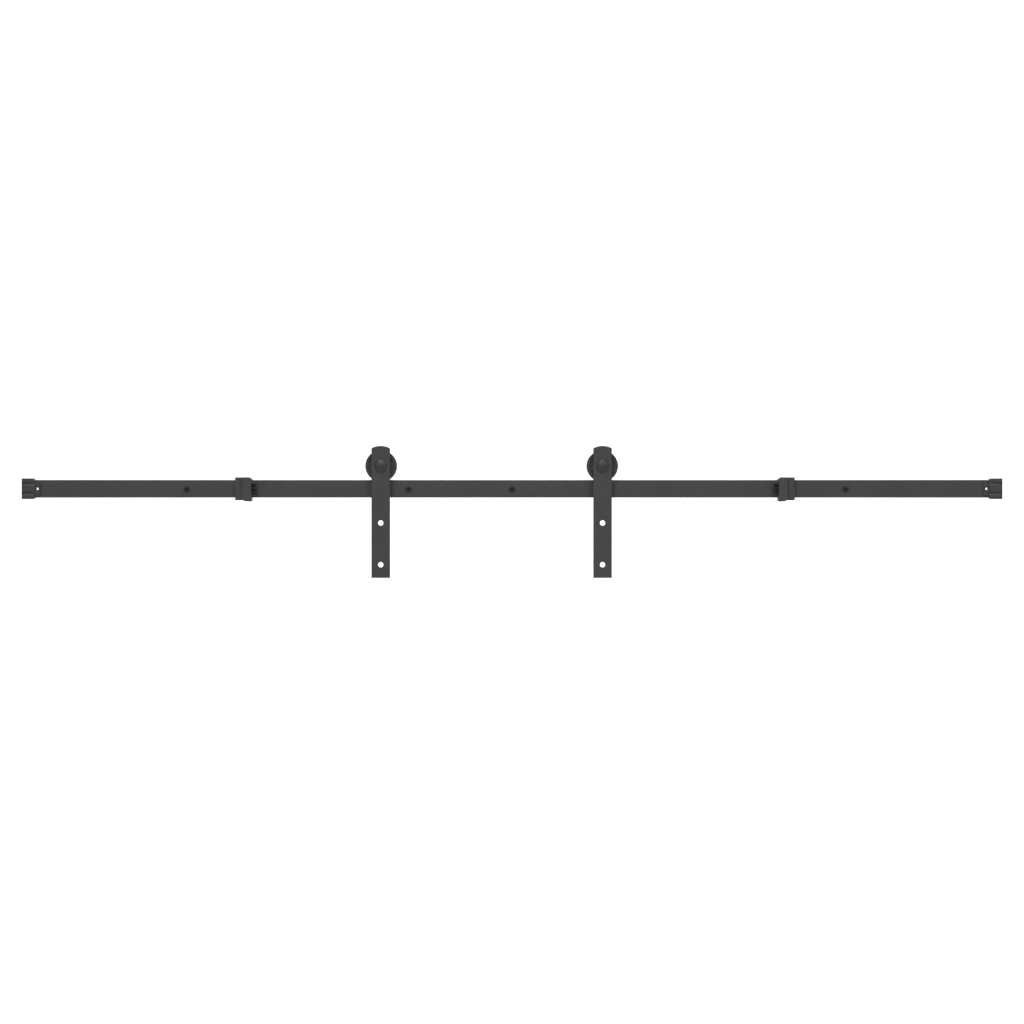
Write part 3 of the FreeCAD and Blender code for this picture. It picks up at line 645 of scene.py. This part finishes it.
class Finish(Nodes):
    """A node material built round one Principled shader."""

    def __init__(self, name, base, rough, metal=0.0):
        self.material = bpy.data.materials.new(f"{name}_finish")
        self.material.use_nodes = True
        self.tree = self.material.node_tree
        self.tree.nodes.clear()
        self.output = self.tree.nodes.new("ShaderNodeOutputMaterial")
        self.shader = self.tree.nodes.new("ShaderNodeBsdfPrincipled")
        self.link(self.shader.outputs[0], self.output, "Surface")
        self.base = tuple(base)
        self.rough = rough
        self.shader.inputs["Metallic"].default_value = metal
        self.material.diffuse_color = (*self.base, 1)
        self.where = self.node("ShaderNodeTexCoord").outputs["Object"]

    def noise(self, scale, detail, roughness=0.5):
        """Noise of that many features a metre."""
        made = self.node(
            "ShaderNodeTexNoise",
            {"Vector": self.where},
            {"Scale": scale, "Detail": detail, "Roughness": roughness},
        )
        return made.outputs["Fac"]

    def between(self, value, low, high):
        """Maps the middle of a noise's range to another range."""
        made = self.node(
            "ShaderNodeMapRange",
            {"Value": value},
            {"From Min": NOISE_LOW, "From Max": NOISE_HIGH, "To Min": low, "To Max": high},
        )
        return made.outputs[0]

    def uneven(self, scale, detail, less, more):
        """The finish's own roughness, made less and more by a noise."""
        return self.between(self.noise(scale, detail), self.rough - less, self.rough + more)

    def blend(self, factor, low, high):
        """Mixes two colours, each of them a socket or three numbers."""
        mix = self.node("ShaderNodeMix", {0: factor}, data_type="RGBA")
        for index, part in ((6, low), (7, high)):
            if isinstance(part, bpy.types.NodeSocket):
                self.link(part, mix, index)
            else:
                mix.inputs[index].default_value = (*part, 1)
        return mix.outputs[2]

    def mottle(self, spread, scale, detail, roughness=0.5):
        """Base colour that goes lighter and darker with a noise, by the spread."""
        factor = self.between(self.noise(scale, detail, roughness), 0.0, 1.0)
        dark = [part * (1 - spread) for part in self.base]
        light = [min(1.0, part * (1 + spread)) for part in self.base]
        return self.blend(factor, dark, light)

    def worn_edges(self, under, radius, gain):
        """Lightens convex and handled edges a little, where the rounded normal leaves the face."""
        face = self.node("ShaderNodeNewGeometry")
        facing = self.node(
            "ShaderNodeVectorMath",
            {0: self.soft_edges(radius), 1: face.outputs["Normal"]},
            operation="DOT_PRODUCT",
        )
        edge = self.node(
            "ShaderNodeMapRange",
            {"Value": facing.outputs["Value"]},
            {"From Min": EDGE_FLAT, "From Max": EDGE_FULL, "To Min": 0.0, "To Max": 1.0},
        )
        return self.blend(edge.outputs[0], under, [min(1.0, part * gain) for part in self.base])

    def bump(self, height, distance, strength=1.0, under=None):
        made = self.node(
            "ShaderNodeBump", {"Height": height}, {"Distance": distance, "Strength": strength}
        )
        if under is not None:
            self.link(under, made, "Normal")
        return made.outputs[0]

    def soft_edges(self, radius):
        """Normals that round the edges off."""
        values = {"Radius": radius}
        return self.node("ShaderNodeBevel", values=values, samples=BEVEL_SAMPLES).outputs[0]

    def finish(self, base=None, rough=None, normal=None):
        inputs = self.shader.inputs
        inputs["Base Color"].default_value = (*self.base, 1)
        inputs["Roughness"].default_value = self.rough
        for name, source in (("Base Color", base), ("Roughness", rough), ("Normal", normal)):
            if source is not None:
                self.link(source, self.shader, name)
        return self.material


def powder_coat(look):
    """Matt black powder coat: orange peel, a fine grit in it, and edges a shade lighter."""
    coat = Finish("powder_coat", look.coat, look.coat_rough)
    base = coat.worn_edges(coat.mottle(0.09, 14, 4), 0.0006, 1.35)
    peel = coat.bump(coat.noise(480, 2), 0.00018, 0.8, coat.soft_edges(0.001))
    grit = coat.bump(coat.noise(2600, 2), 0.00005, 0.6, peel)
    return coat.finish(base, coat.uneven(420, 2, 0.07, 0.07), grit)


def black_steel(look):
    """Black oxide over turned steel: streaks, brighter corners, and painted shade in the sockets.
    """
    steel = Finish("black_steel", look.steel, look.steel_rough, metal=0.1)
    worn = steel.worn_edges(steel.mottle(0.16, 180, 4), 0.0004, 1.8)
    # Painted shade: the socket mask darkens the steel, standing in for the shade inside each
    # recess.
    painted_recess_shade = steel.node("ShaderNodeAttribute", attribute_name="painted_recess_shade").outputs["Fac"]
    base = steel.blend(painted_recess_shade, worn, [part * look.painted_recess_shade for part in look.steel])
    grain = steel.bump(steel.noise(1500, 2), 0.00003, 0.4, steel.soft_edges(0.0003))
    return steel.finish(base, steel.uneven(700, 3, 0.1, 0.1), grain)


def tool_marks(finish, spacing):
    """Height of the rings a lathe leaves, from the turned piece's own coordinates."""
    own = finish.node("ShaderNodeAttribute", attribute_name="turned").outputs["Vector"]
    parts = finish.node("ShaderNodeSeparateXYZ", {"Vector": own})
    flat = finish.node("ShaderNodeCombineXYZ", {"X": parts.outputs[0], "Y": parts.outputs[1]})
    out = finish.node("ShaderNodeVectorMath", {0: flat.outputs[0]}, operation="LENGTH")
    total = finish.node(
        "ShaderNodeMath", {0: out.outputs["Value"], 1: parts.outputs[2]}, operation="ADD"
    )
    phase = finish.node(
        "ShaderNodeMath", {0: total.outputs[0]}, {1: 2 * math.pi / spacing}, operation="MULTIPLY"
    )
    return finish.node("ShaderNodeMath", {0: phase.outputs[0]}, operation="SINE").outputs[0]


def wheel_nylon(look):
    """Black nylon off the lathe, with its fine rings."""
    nylon = Finish("wheel_nylon", look.nylon, look.nylon_rough)
    rings = nylon.bump(tool_marks(nylon, 0.0007), 0.00002, 0.35)
    grain = nylon.bump(nylon.noise(2600, 1), 0.00002, 0.4, rings)
    return nylon.finish(nylon.mottle(0.12, 90, 4), nylon.uneven(500, 2, 0.08, 0.08), grain)


def cap_plastic(look):
    """Moulded plastic with a fine spark-eroded grain and rubbed corners."""
    plastic = Finish("cap_plastic", look.plastic, look.plastic_rough)
    base = plastic.worn_edges(plastic.mottle(0.08, 60, 3), 0.0006, 1.3)
    spark = plastic.noise(2400, 3, roughness=0.7)
    grain = plastic.bump(spark, 0.00004, 0.5, plastic.soft_edges(0.0005))
    return plastic.finish(base, plastic.uneven(900, 2, 0.06, 0.08), grain)


def bumper_rubber(look):
    """Matt black rubber with a bloom of dust."""
    rubber = Finish("bumper_rubber", look.rubber, look.rubber_rough)
    rubber.shader.inputs["Specular IOR Level"].default_value = look.rubber_gloss
    bloom = rubber.mottle(0.3, 220, 5, roughness=0.65)
    grain = rubber.bump(rubber.noise(1900, 3), 0.00005, 0.5)
    return rubber.finish(bloom, rubber.uneven(800, 2, 0.08, 0.08), grain)


def bearing_steel(look):
    """Ground steel with the fine rings of grinding."""
    steel = Finish("bearing_steel", look.bearing, look.bearing_rough, metal=1.0)
    rings = steel.bump(tool_marks(steel, 0.0006), 0.00001, 0.12)
    return steel.finish(steel.mottle(0.06, 260, 4), steel.uneven(500, 2, 0.05, 0.08), rings)


def cage_polyamide(look):
    """Moulded brown polyamide."""
    cage = Finish("cage_polyamide", look.cage, look.cage_rough)
    grain = cage.bump(cage.noise(2000, 2), 0.00003, 0.4)
    return cage.finish(cage.mottle(0.15, 400, 3), None, grain)


def backdrop_paper(look):
    """White studio paper with the faintest tooth."""
    paper = Finish("backdrop_paper", look.paper, look.paper_rough)
    tooth = paper.bump(paper.noise(300, 2), 0.0002, 0.2)
    return paper.finish(paper.mottle(0.01, 2, 3), None, tooth)


MAKERS = {
    "powder_coat": powder_coat,
    "black_steel": black_steel,
    "wheel_nylon": wheel_nylon,
    "cap_plastic": cap_plastic,
    "bumper_rubber": bumper_rubber,
    "bearing_steel": bearing_steel,
    "cage_polyamide": cage_polyamide,
    "backdrop_paper": backdrop_paper,
}


def material(name):
    """The named finish, made the first time it is asked for."""
    made = bpy.data.materials.get(f"{name}_finish")
    return made or MAKERS[name](bpy.context.scene.hardware_finishes)


# Operators


class HARDWARE_OT_rail(bpy.types.Operator):
    """Coats the rail and the spacers behind it"""

    bl_idname = "hardware.rail"
    bl_label = "Rail and spacers"

    def execute(self, context):
        paint(["rail", *spacers()], material("powder_coat"))
        return {"FINISHED"}


class HARDWARE_OT_wall_bolts(bpy.types.Operator):
    """Countersunk socket bolts with a timber thread, one through each spacer"""

    bl_idname = "hardware.wall_bolts"
    bl_label = "Wall bolts"

    def execute(self, context):
        sizes = context.scene.hardware_fasteners
        low, high = box_of("wall_bolts")
        face, tip = -low.y, -high.y
        places = [tuple(axis_of(name)) for name in spacers()]
        head = sizes.bolt_head / 2
        neck = sizes.bolt_neck / 2
        thread = sizes.bolt_thread / 2
        core = thread * TIMBER_CORE
        flats = sizes.bolt_key / 2
        floor = face - sizes.bolt_key_deep
        rings = [
            ("round", 0, tip),
            ("round", core * POINT_TIP, tip + BREAK),
            ("round", core * POINT_WIDE, tip + sizes.bolt_point * POINT_LONG),
            ("round", core, tip + sizes.bolt_point),
            ("round", core, -sizes.bolt_run_out),
            ("round", neck, 0),
            ("round", neck, face - (head - neck)),
            ("round", head - BREAK, face - 1.5 * BREAK),
            ("round", head - BREAK, face - BREAK / 2),
            ("round", head - 2 * BREAK, face),
            ("round", flats * BOLT_MOUTH, face),
            ("hex", flats, face - 2 * BREAK),
            ("hex", flats, floor),
            ("round", flats * SOCKET_FLOOR, floor - 1.5 * BREAK),
            ("round", 0, floor - 3 * BREAK),
        ]
        start = tip + sizes.bolt_point
        winding = (core, sizes.bolt_pitch, start, -2.5 * BREAK, thread - core)
        mesh = screws(places, OUT_OF_WALL, rings, winding, material("black_steel"))
        stand_for("wall_bolts", "wall_bolt_set", [mesh], "rail", "black_steel")
        return {"FINISHED"}


class HARDWARE_OT_end_caps(bpy.types.Operator):
    """Moulded finish on the end caps"""

    bl_idname = "hardware.end_caps"
    bl_label = "End caps"

    def execute(self, context):
        paint([f"{side}_end_cap" for side in SIDES], material("cap_plastic"))
        return {"FINISHED"}


class HARDWARE_OT_stops(bpy.types.Operator):
    """Coats the stops and makes their screws"""

    bl_idname = "hardware.stops"
    bl_label = "Stops"

    def execute(self, context):
        for side in SIDES:
            paint([f"{side}_stop_body", f"{side}_stop_back_plate"], material("powder_coat"))
            self.plate_screws(context.scene.hardware_fasteners, side)
            self.set_screw(context.scene.hardware_fasteners, side)
        return {"FINISHED"}

    def plate_screws(self, sizes, side):
        node = f"{side}_stop_plate_screws"
        low, high = box_of(node)
        head = sizes.plate_head / 2
        radius = sizes.plate_screw / 2
        places = [
            (x, high.y, z)
            for x in (low.x + head, high.x - head)
            for z in (low.z + head, high.z - head)
        ]
        long = high.y - low.y
        flats = sizes.plate_key / 2
        core = radius * PLATE_CORE
        cone = head - radius
        rings = [
            ("round", 0, -long),
            ("round", core * PLATE_CORE, -long),
            ("round", core, -long + 1.5 * BREAK),
            ("round", core, -cone - 2 * BREAK),
            ("round", radius, -cone),
            ("round", head - BREAK / 2, -BREAK / 2),
            ("round", head - BREAK, 0),
            ("round", flats * SMALL_MOUTH, 0),
            ("hex", flats, -BREAK),
            ("hex", flats, -radius),
            ("round", 0, -radius - 1.5 * BREAK),
        ]
        ends = (-long + 2 * BREAK, -cone - 2 * BREAK)
        winding = (core, PLATE_PITCH, *ends, radius - core)
        mesh = screws(places, INTO_WALL, rings, winding, material("black_steel"))
        stand_for(node, f"{side}_plate_screw_set", [mesh], f"{side}_stop", "black_steel")

    def set_screw(self, sizes, side):
        node = f"{side}_stop_set_screw"
        low, high = box_of(node)
        radius = (high.x - low.x) / 2
        core = radius * SET_CORE
        flats = sizes.set_key / 2
        rings = [
            ("round", 0, high.z),
            ("round", radius / 2, high.z),
            ("round", core, high.z - 4 * BREAK),
            ("round", core, low.z + BREAK),
            ("round", core - BREAK, low.z),
            ("round", flats * SMALL_MOUTH, low.z),
            ("hex", flats, low.z + 1.5 * BREAK),
            ("hex", flats, low.z + sizes.set_key),
            ("round", 0, low.z + sizes.set_key + 2.5 * BREAK),
        ]
        places = [((low.x + high.x) / 2, (low.y + high.y) / 2, 0)]
        ends = (low.z + 1.5 * BREAK, high.z - 4.5 * BREAK)
        winding = (core, SET_PITCH, *ends, radius - core)
        mesh = screws(places, UPRIGHT, rings, winding, material("black_steel"))
        stand_for(node, f"{side}_set_screw_cut", [mesh], f"{side}_stop", "black_steel")


class HARDWARE_OT_bumpers(bpy.types.Operator):
    """Rubber bumpers on the stops: a row of rounded lobes on a stem"""

    bl_idname = "hardware.bumpers"
    bl_label = "Bumpers"

    def execute(self, context):
        sizes = context.scene.hardware_bumpers
        rubber = material("bumper_rubber")
        for side in SIDES:
            node = f"{side}_stop_bumper"
            low, high = box_of(node)
            body_low, body_high = box_of(f"{side}_stop_body")
            inner = body_high.x if side == "left" else body_low.x
            tip = high.x if side == "left" else low.x
            deep = low.x if side == "left" else high.x
            reach = abs(tip - inner)
            radius = sizes.lobe / 2
            lobe = [(radius * wide, reach * out) for wide, out in LOBE_OUTLINE]
            first = -sizes.pitch * (sizes.lobes - 1) / 2
            row = turned(
                lobe,
                rubber,
                LOBE_FACETS,
                sizes.rounding / 2,
                cyclic=False,
                copies=sizes.lobes,
                spacing=(sizes.pitch, 0, 0),
            )
            row.transform(Matrix.Translation((first, 0, 0)))
            stem = sizes.stem / 2
            back = -abs(deep - inner)
            root = 2.5 * BREAK
            pin = [(0, back), (stem, back), (stem, root), (0, root)]
            peg = turned(pin, rubber, STEM_FACETS, 2 * BREAK, cyclic=False)
            turn = Matrix.Rotation(math.radians(90 if side == "left" else -90), 4, "Y")
            place = Vector((inner, (low.y + high.y) / 2, (low.z + high.z) / 2))
            meshes = [moved(row, turn, place), moved(peg, turn, place)]
            stand_for(node, f"{side}_bumper_lobes", meshes, f"{side}_stop", "bumper_rubber")
        return {"FINISHED"}


class HARDWARE_OT_hangers(bpy.types.Operator):
    """Coats the straps and makes the axle bolts and washers"""

    bl_idname = "hardware.hangers"
    bl_label = "Hangers"

    def execute(self, context):
        steel = material("black_steel")
        for side in SIDES:
            paint([f"{side}_strap"], material("powder_coat"))
            paint([f"{side}_{name}" for name in ("front_bush", "rear_bush", "lock_nut")], steel)
            self.axle_bolt(context.scene, side, steel)
            self.washer(context.scene, side, steel)
        return {"FINISHED"}

    def axle_bolt(self, scene, side, steel):
        sizes = scene.hardware_fasteners
        facets = scene.hardware_wheels.facets
        node = f"{side}_axle_bolt"
        low, high = box_of(node)
        strap_low, strap_high = box_of(f"{side}_strap")
        seat = -strap_low.y
        crown = -low.y
        tip = -high.y
        nut_front = -box_of(f"{side}_lock_nut")[0].y
        dome = (high.x - low.x) / 2
        shank = AXLE_RADIUS
        point = AXLE_POINT
        rim = sizes.dome_rim
        rise = crown - seat - rim
        sweep = (dome * dome + rise * rise) / (2 * rise)
        top = crown - sweep
        edge = math.degrees(math.asin((seat + rim - top) / sweep))
        core = shank - AXLE_DEEP
        corners = [
            (0, tip),
            (core - point, tip),
            (core, tip + point),
            (core, nut_front - 2.5 * BREAK),
            (shank, nut_front),
            (shank, seat),
            (dome - BREAK, seat),
            (dome, seat + 1.5 * BREAK),
            *arc((0, top), sweep, edge, 90, DOME_STEPS),
        ]
        corners[-1] = (0, crown)
        bolt = turned(corners, steel, facets, BREAK, cyclic=False)
        ends = (tip + point + BREAK / 2, nut_front - 4 * BREAK)
        winding = (core, sizes.axle_pitch, *ends, shank - core)
        low_end, high_end = tip + point + BREAK, nut_front - 5 * BREAK
        sleeve = [
            ("round", 0, low_end),
            ("round", core * SLEEVE, low_end),
            ("round", core * SLEEVE, high_end),
            ("round", 0, high_end),
        ]
        thread = screws([(0, 0, 0)], UPRIGHT, sleeve, winding, steel)
        neck = block(
            (-shank, -shank, -strap_high.y), (shank, shank, seat + 2 * BREAK), 1.5 * BREAK
        )
        place = axis_of(f"{side}_wheel")
        meshes = [moved(mesh, OUT_OF_WALL, place) for mesh in (bolt, thread, neck)]
        stand_for(node, f"{side}_carriage_bolt", meshes, f"{side}_hanger", "black_steel")

    def washer(self, scene, side, steel):
        node = f"{side}_washer"
        low, high = box_of(node)
        outer = (high.x - low.x) / 2
        bore = AXLE_RADIUS
        back, front = -high.y, -low.y
        corners = [(bore, back), (outer, back), (outer, front), (bore, front)]
        ring = turned(corners, steel, scene.hardware_wheels.facets, 1.5 * BREAK)
        meshes = [moved(ring, OUT_OF_WALL, axis_of(f"{side}_wheel"))]
        stand_for(node, f"{side}_axle_washer", meshes, f"{side}_hanger", "black_steel")


class HARDWARE_OT_wheels(bpy.types.Operator):
    """Grooved wheels turned from their profile, with eased corners"""

    bl_idname = "hardware.wheels"
    bl_label = "Wheels"

    def execute(self, context):
        sizes = context.scene.hardware_wheels
        nylon = material("wheel_nylon")
        for side in SIDES:
            node = f"{side}_wheel"
            low, high = box_of(node)
            ring_low, ring_high = box_of(f"{side}_bearing_outer_ring")
            back, front = -high.y, -low.y
            middle = (back + front) / 2
            rim = (high.x - low.x) / 2
            tread = rim - sizes.flange_tall
            bore = (ring_high.x - ring_low.x) / 2
            bearing_front = -ring_low.y
            hub = bore + sizes.hub_wall
            mouth = bore - sizes.hub_lip
            inner = rim - sizes.rim_ring
            sink = sizes.web_sink
            slope = sink / 2
            half = sizes.groove_wide / 2
            wide = sizes.groove_mouth / 2
            corners = [
                (bore, back),
                (hub, back),
                (hub + slope, back + sink),
                (inner - slope, back + sink),
                (inner, back),
                (rim, back),
                (rim, middle - wide),
                (tread, middle - half),
                (tread, middle + half),
                (rim, middle + wide),
                (rim, front),
                (inner, front),
                (inner - slope, front - sink),
                (hub + slope, front - sink),
                (hub, front),
                (mouth, front),
                (mouth, bearing_front),
                (bore, bearing_front),
            ]
            ring = turned(corners, nylon, sizes.facets, sizes.rounding)
            meshes = [moved(ring, OUT_OF_WALL, axis_of(node))]
            stand_for(node, f"{side}_grooved_wheel", meshes, f"{side}_wheel", "wheel_nylon")
        return {"FINISHED"}


class HARDWARE_OT_bearings(bpy.types.Operator):
    """Ball bearings: rings, pressed shields and balls"""

    bl_idname = "hardware.bearings"
    bl_label = "Bearings"

    def execute(self, context):
        sizes = context.scene.hardware_wheels
        steel = material("bearing_steel")
        for side in SIDES:
            paint([f"{side}_bearing_cage"], material("cage_polyamide"))
            place = axis_of(f"{side}_wheel")
            ball_low, ball_high = box_of(f"{side}_bearing_balls")
            ball = (ball_high.y - ball_low.y) / 2
            circle = (ball_high.x - ball_low.x) / 2 - ball
            inner_low, inner_high = box_of(f"{side}_bearing_inner_ring")
            outer_low, outer_high = box_of(f"{side}_bearing_outer_ring")
            bore = AXLE_RADIUS
            shoulder = (inner_high.x - inner_low.x) / 2
            outside = (outer_high.x - outer_low.x) / 2
            back, front = -outer_high.y, -outer_low.y
            middle = (back + front) / 2
            groove = ball + sizes.ball_gap
            step = circle - shoulder
            lean = math.degrees(math.acos(step / groove))
            inner_arc = arc((circle, middle), groove, 180 + lean, 180 - lean, RACE_STEPS)
            outer_arc = arc((circle, middle), groove, lean, -lean, RACE_STEPS)
            inner = [(bore, front), (bore, back), (shoulder, back)]
            inner += [*inner_arc, (shoulder, front)]
            outer = [(outside, back), (outside, front), (circle + step, front)]
            outer += [*outer_arc, (circle + step, back)]
            for name, corners in (("inner", inner), ("outer", outer)):
                node = f"{side}_bearing_{name}_ring"
                body = f"{side}_hanger" if name == "inner" else f"{side}_wheel"
                mesh = turned(corners, steel, sizes.facets, sizes.ring_rounding)
                meshes = [moved(mesh, OUT_OF_WALL, place)]
                stand_for(node, f"{side}_{name}_race", meshes, body, "bearing_steel")
            self.shields(sizes, side, steel, place)
            holder = linked("holder", bpy.data.meshes.new("holder"))
            values = {
                "Balls": sizes.balls,
                "Circle": circle,
                "Ball radius": ball,
                "Material": steel,
            }
            balls = run_tree(tree_named("Ring of balls", balls_tree), holder, values)
            turn = Matrix.Translation((0, -middle, 0)) @ OUT_OF_WALL
            node, meshes = f"{side}_bearing_balls", [moved(balls, turn, place)]
            stand_for(node, f"{side}_ball_ring", meshes, f"{side}_ball_set", "bearing_steel")
        return {"FINISHED"}

    def shields(self, sizes, side, steel, place):
        node = f"{side}_bearing_shields"
        low, high = box_of(node)
        inner_low, inner_high = box_of(f"{side}_bearing_inner_ring")
        outer = (high.x - low.x) / 2
        inner = (inner_high.x - inner_low.x) / 2 + BREAK
        waist = inner + (outer - inner) * sizes.shield_waist
        sheet = sizes.shield_sheet
        meshes = []
        for start, way in ((-high.y, 1), (-low.y, -1)):
            corners = [
                (inner, start + 2 * sheet * way),
                (waist, start + 2 * sheet * way),
                (waist + sheet, start + sheet * way),
                (outer, start + sheet * way),
                (outer, start),
                (waist, start),
                (waist - sheet, start + sheet * way),
                (inner, start + sheet * way),
            ]
            mesh = turned(corners, steel, sizes.facets, sheet / 3)
            meshes.append(moved(mesh, OUT_OF_WALL, place))
        stand_for(node, f"{side}_pressed_shields", meshes, f"{side}_wheel", "bearing_steel")


class HARDWARE_OT_stage(bpy.types.Operator):
    """White sweep, soft lights and the camera"""

    bl_idname = "hardware.stage"
    bl_label = "Stage"

    def execute(self, context):
        sizes = context.scene.hardware_stage
        middle = (cad_low + cad_high) / 2
        self.sweep(sizes)
        world = bpy.data.worlds.new("surround")
        world.use_nodes = True
        sky = world.node_tree.nodes["Background"]
        sky.inputs["Color"].default_value = (1, 1, 1, 1)
        sky.inputs["Strength"].default_value = sizes.sky
        context.scene.world = world
        context.scene.view_settings.view_transform = "Standard"
        high_aim = Vector((0, sizes.wall_back, BACK_HIGH_AIM))
        self.light("key", sizes.key, FRONT_LAMP, KEY_PLACE, middle)
        self.light("fill", sizes.fill, FRONT_LAMP, FILL_PLACE, middle)
        self.light("back_high", sizes.back, BACK_LAMP, BACK_HIGH_PLACE, high_aim)
        self.light("back_low", sizes.back, BACK_LAMP, BACK_LOW_PLACE, Vector(BACK_LOW_AIM))
        lens = bpy.data.cameras.new("camera")
        lens.lens = sizes.lens
        lens.sensor_width = SENSOR
        lens.clip_end = FAR_CLIP
        camera = linked("camera", lens)
        rail_low, rail_high = box_of("rail")
        along = (rail_low.y + rail_high.y) / 2 - sizes.away
        camera.location = (0, along, middle.z - sizes.drop)
        camera.rotation_euler = (math.radians(90), 0, 0)
        context.scene.camera = camera
        return {"FINISHED"}

    def sweep(self, sizes):
        floor = cad_low.z - sizes.floor_drop
        back = sizes.wall_back
        bend = sizes.sweep
        curve = arc((back - bend, floor + bend), bend, -90, 0, SWEEP_STEPS)
        line = [(-sizes.floor_front, floor), *curve, (back, sizes.sweep_top)]
        shell = bmesh.new()
        rows = []
        for x in (-sizes.sweep_half, sizes.sweep_half):
            rows.append([shell.verts.new((x, y, z)) for y, z in line])
        for step in range(len(line) - 1):
            shell.faces.new((rows[0][step], rows[1][step], rows[1][step + 1], rows[0][step + 1]))
        mesh = bpy.data.meshes.new("sweep")
        shell.to_mesh(mesh)
        shell.free()
        mesh.materials.append(material("backdrop_paper"))
        mesh.shade_smooth()
        linked("sweep", mesh)

    def light(self, name, power, size, place, target):
        lamp = bpy.data.lights.new(name, "AREA")
        lamp.energy = power
        lamp.shape = "DISK"
        lamp.size = size
        made = linked(name, lamp)
        made.location = place
        made.rotation_euler = (target - Vector(place)).to_track_quat("-Z", "Y").to_euler()


class HARDWARE_PT_pieces(bpy.types.Panel):
    """The set's pieces, sizes and finishes"""

    bl_idname = "HARDWARE_PT_pieces"
    bl_label = "Sliding door hardware"
    bl_space_type = "VIEW_3D"
    bl_region_type = "UI"
    bl_category = "Hardware"

    def draw(self, context):
        layout = self.layout
        for operator in OPERATORS:
            layout.operator(operator.bl_idname, text=operator.bl_label)
        for name, kind in GROUPS.items():
            box = layout.box()
            box.label(text=kind.__doc__)
            for item in kind.__annotations__:
                box.prop(getattr(context.scene, name), item)


OPERATORS = (
    HARDWARE_OT_rail,
    HARDWARE_OT_wall_bolts,
    HARDWARE_OT_end_caps,
    HARDWARE_OT_stops,
    HARDWARE_OT_bumpers,
    HARDWARE_OT_hangers,
    HARDWARE_OT_wheels,
    HARDWARE_OT_bearings,
    HARDWARE_OT_stage,
)
GROUPS = {
    "hardware_finishes": HardwareFinishes,
    "hardware_fasteners": HardwareFasteners,
    "hardware_wheels": HardwareWheels,
    "hardware_bumpers": HardwareBumpers,
    "hardware_stage": HardwareStage,
}


def register():
    for name, kind in GROUPS.items():
        bpy.utils.register_class(kind)
        setattr(bpy.types.Scene, name, PointerProperty(type=kind))
    for kind in (*OPERATORS, HARDWARE_PT_pieces):
        bpy.utils.register_class(kind)


def unregister():
    for kind in (HARDWARE_PT_pieces, *reversed(OPERATORS)):
        bpy.utils.unregister_class(kind)
    for name, kind in reversed(GROUPS.items()):
        delattr(bpy.types.Scene, name)
        bpy.utils.unregister_class(kind)


def main():
    register()
    for operator in OPERATORS:
        space, name = operator.bl_idname.split(".")
        getattr(getattr(bpy.ops, space), name)()


if __name__ == "__main__":
    main()
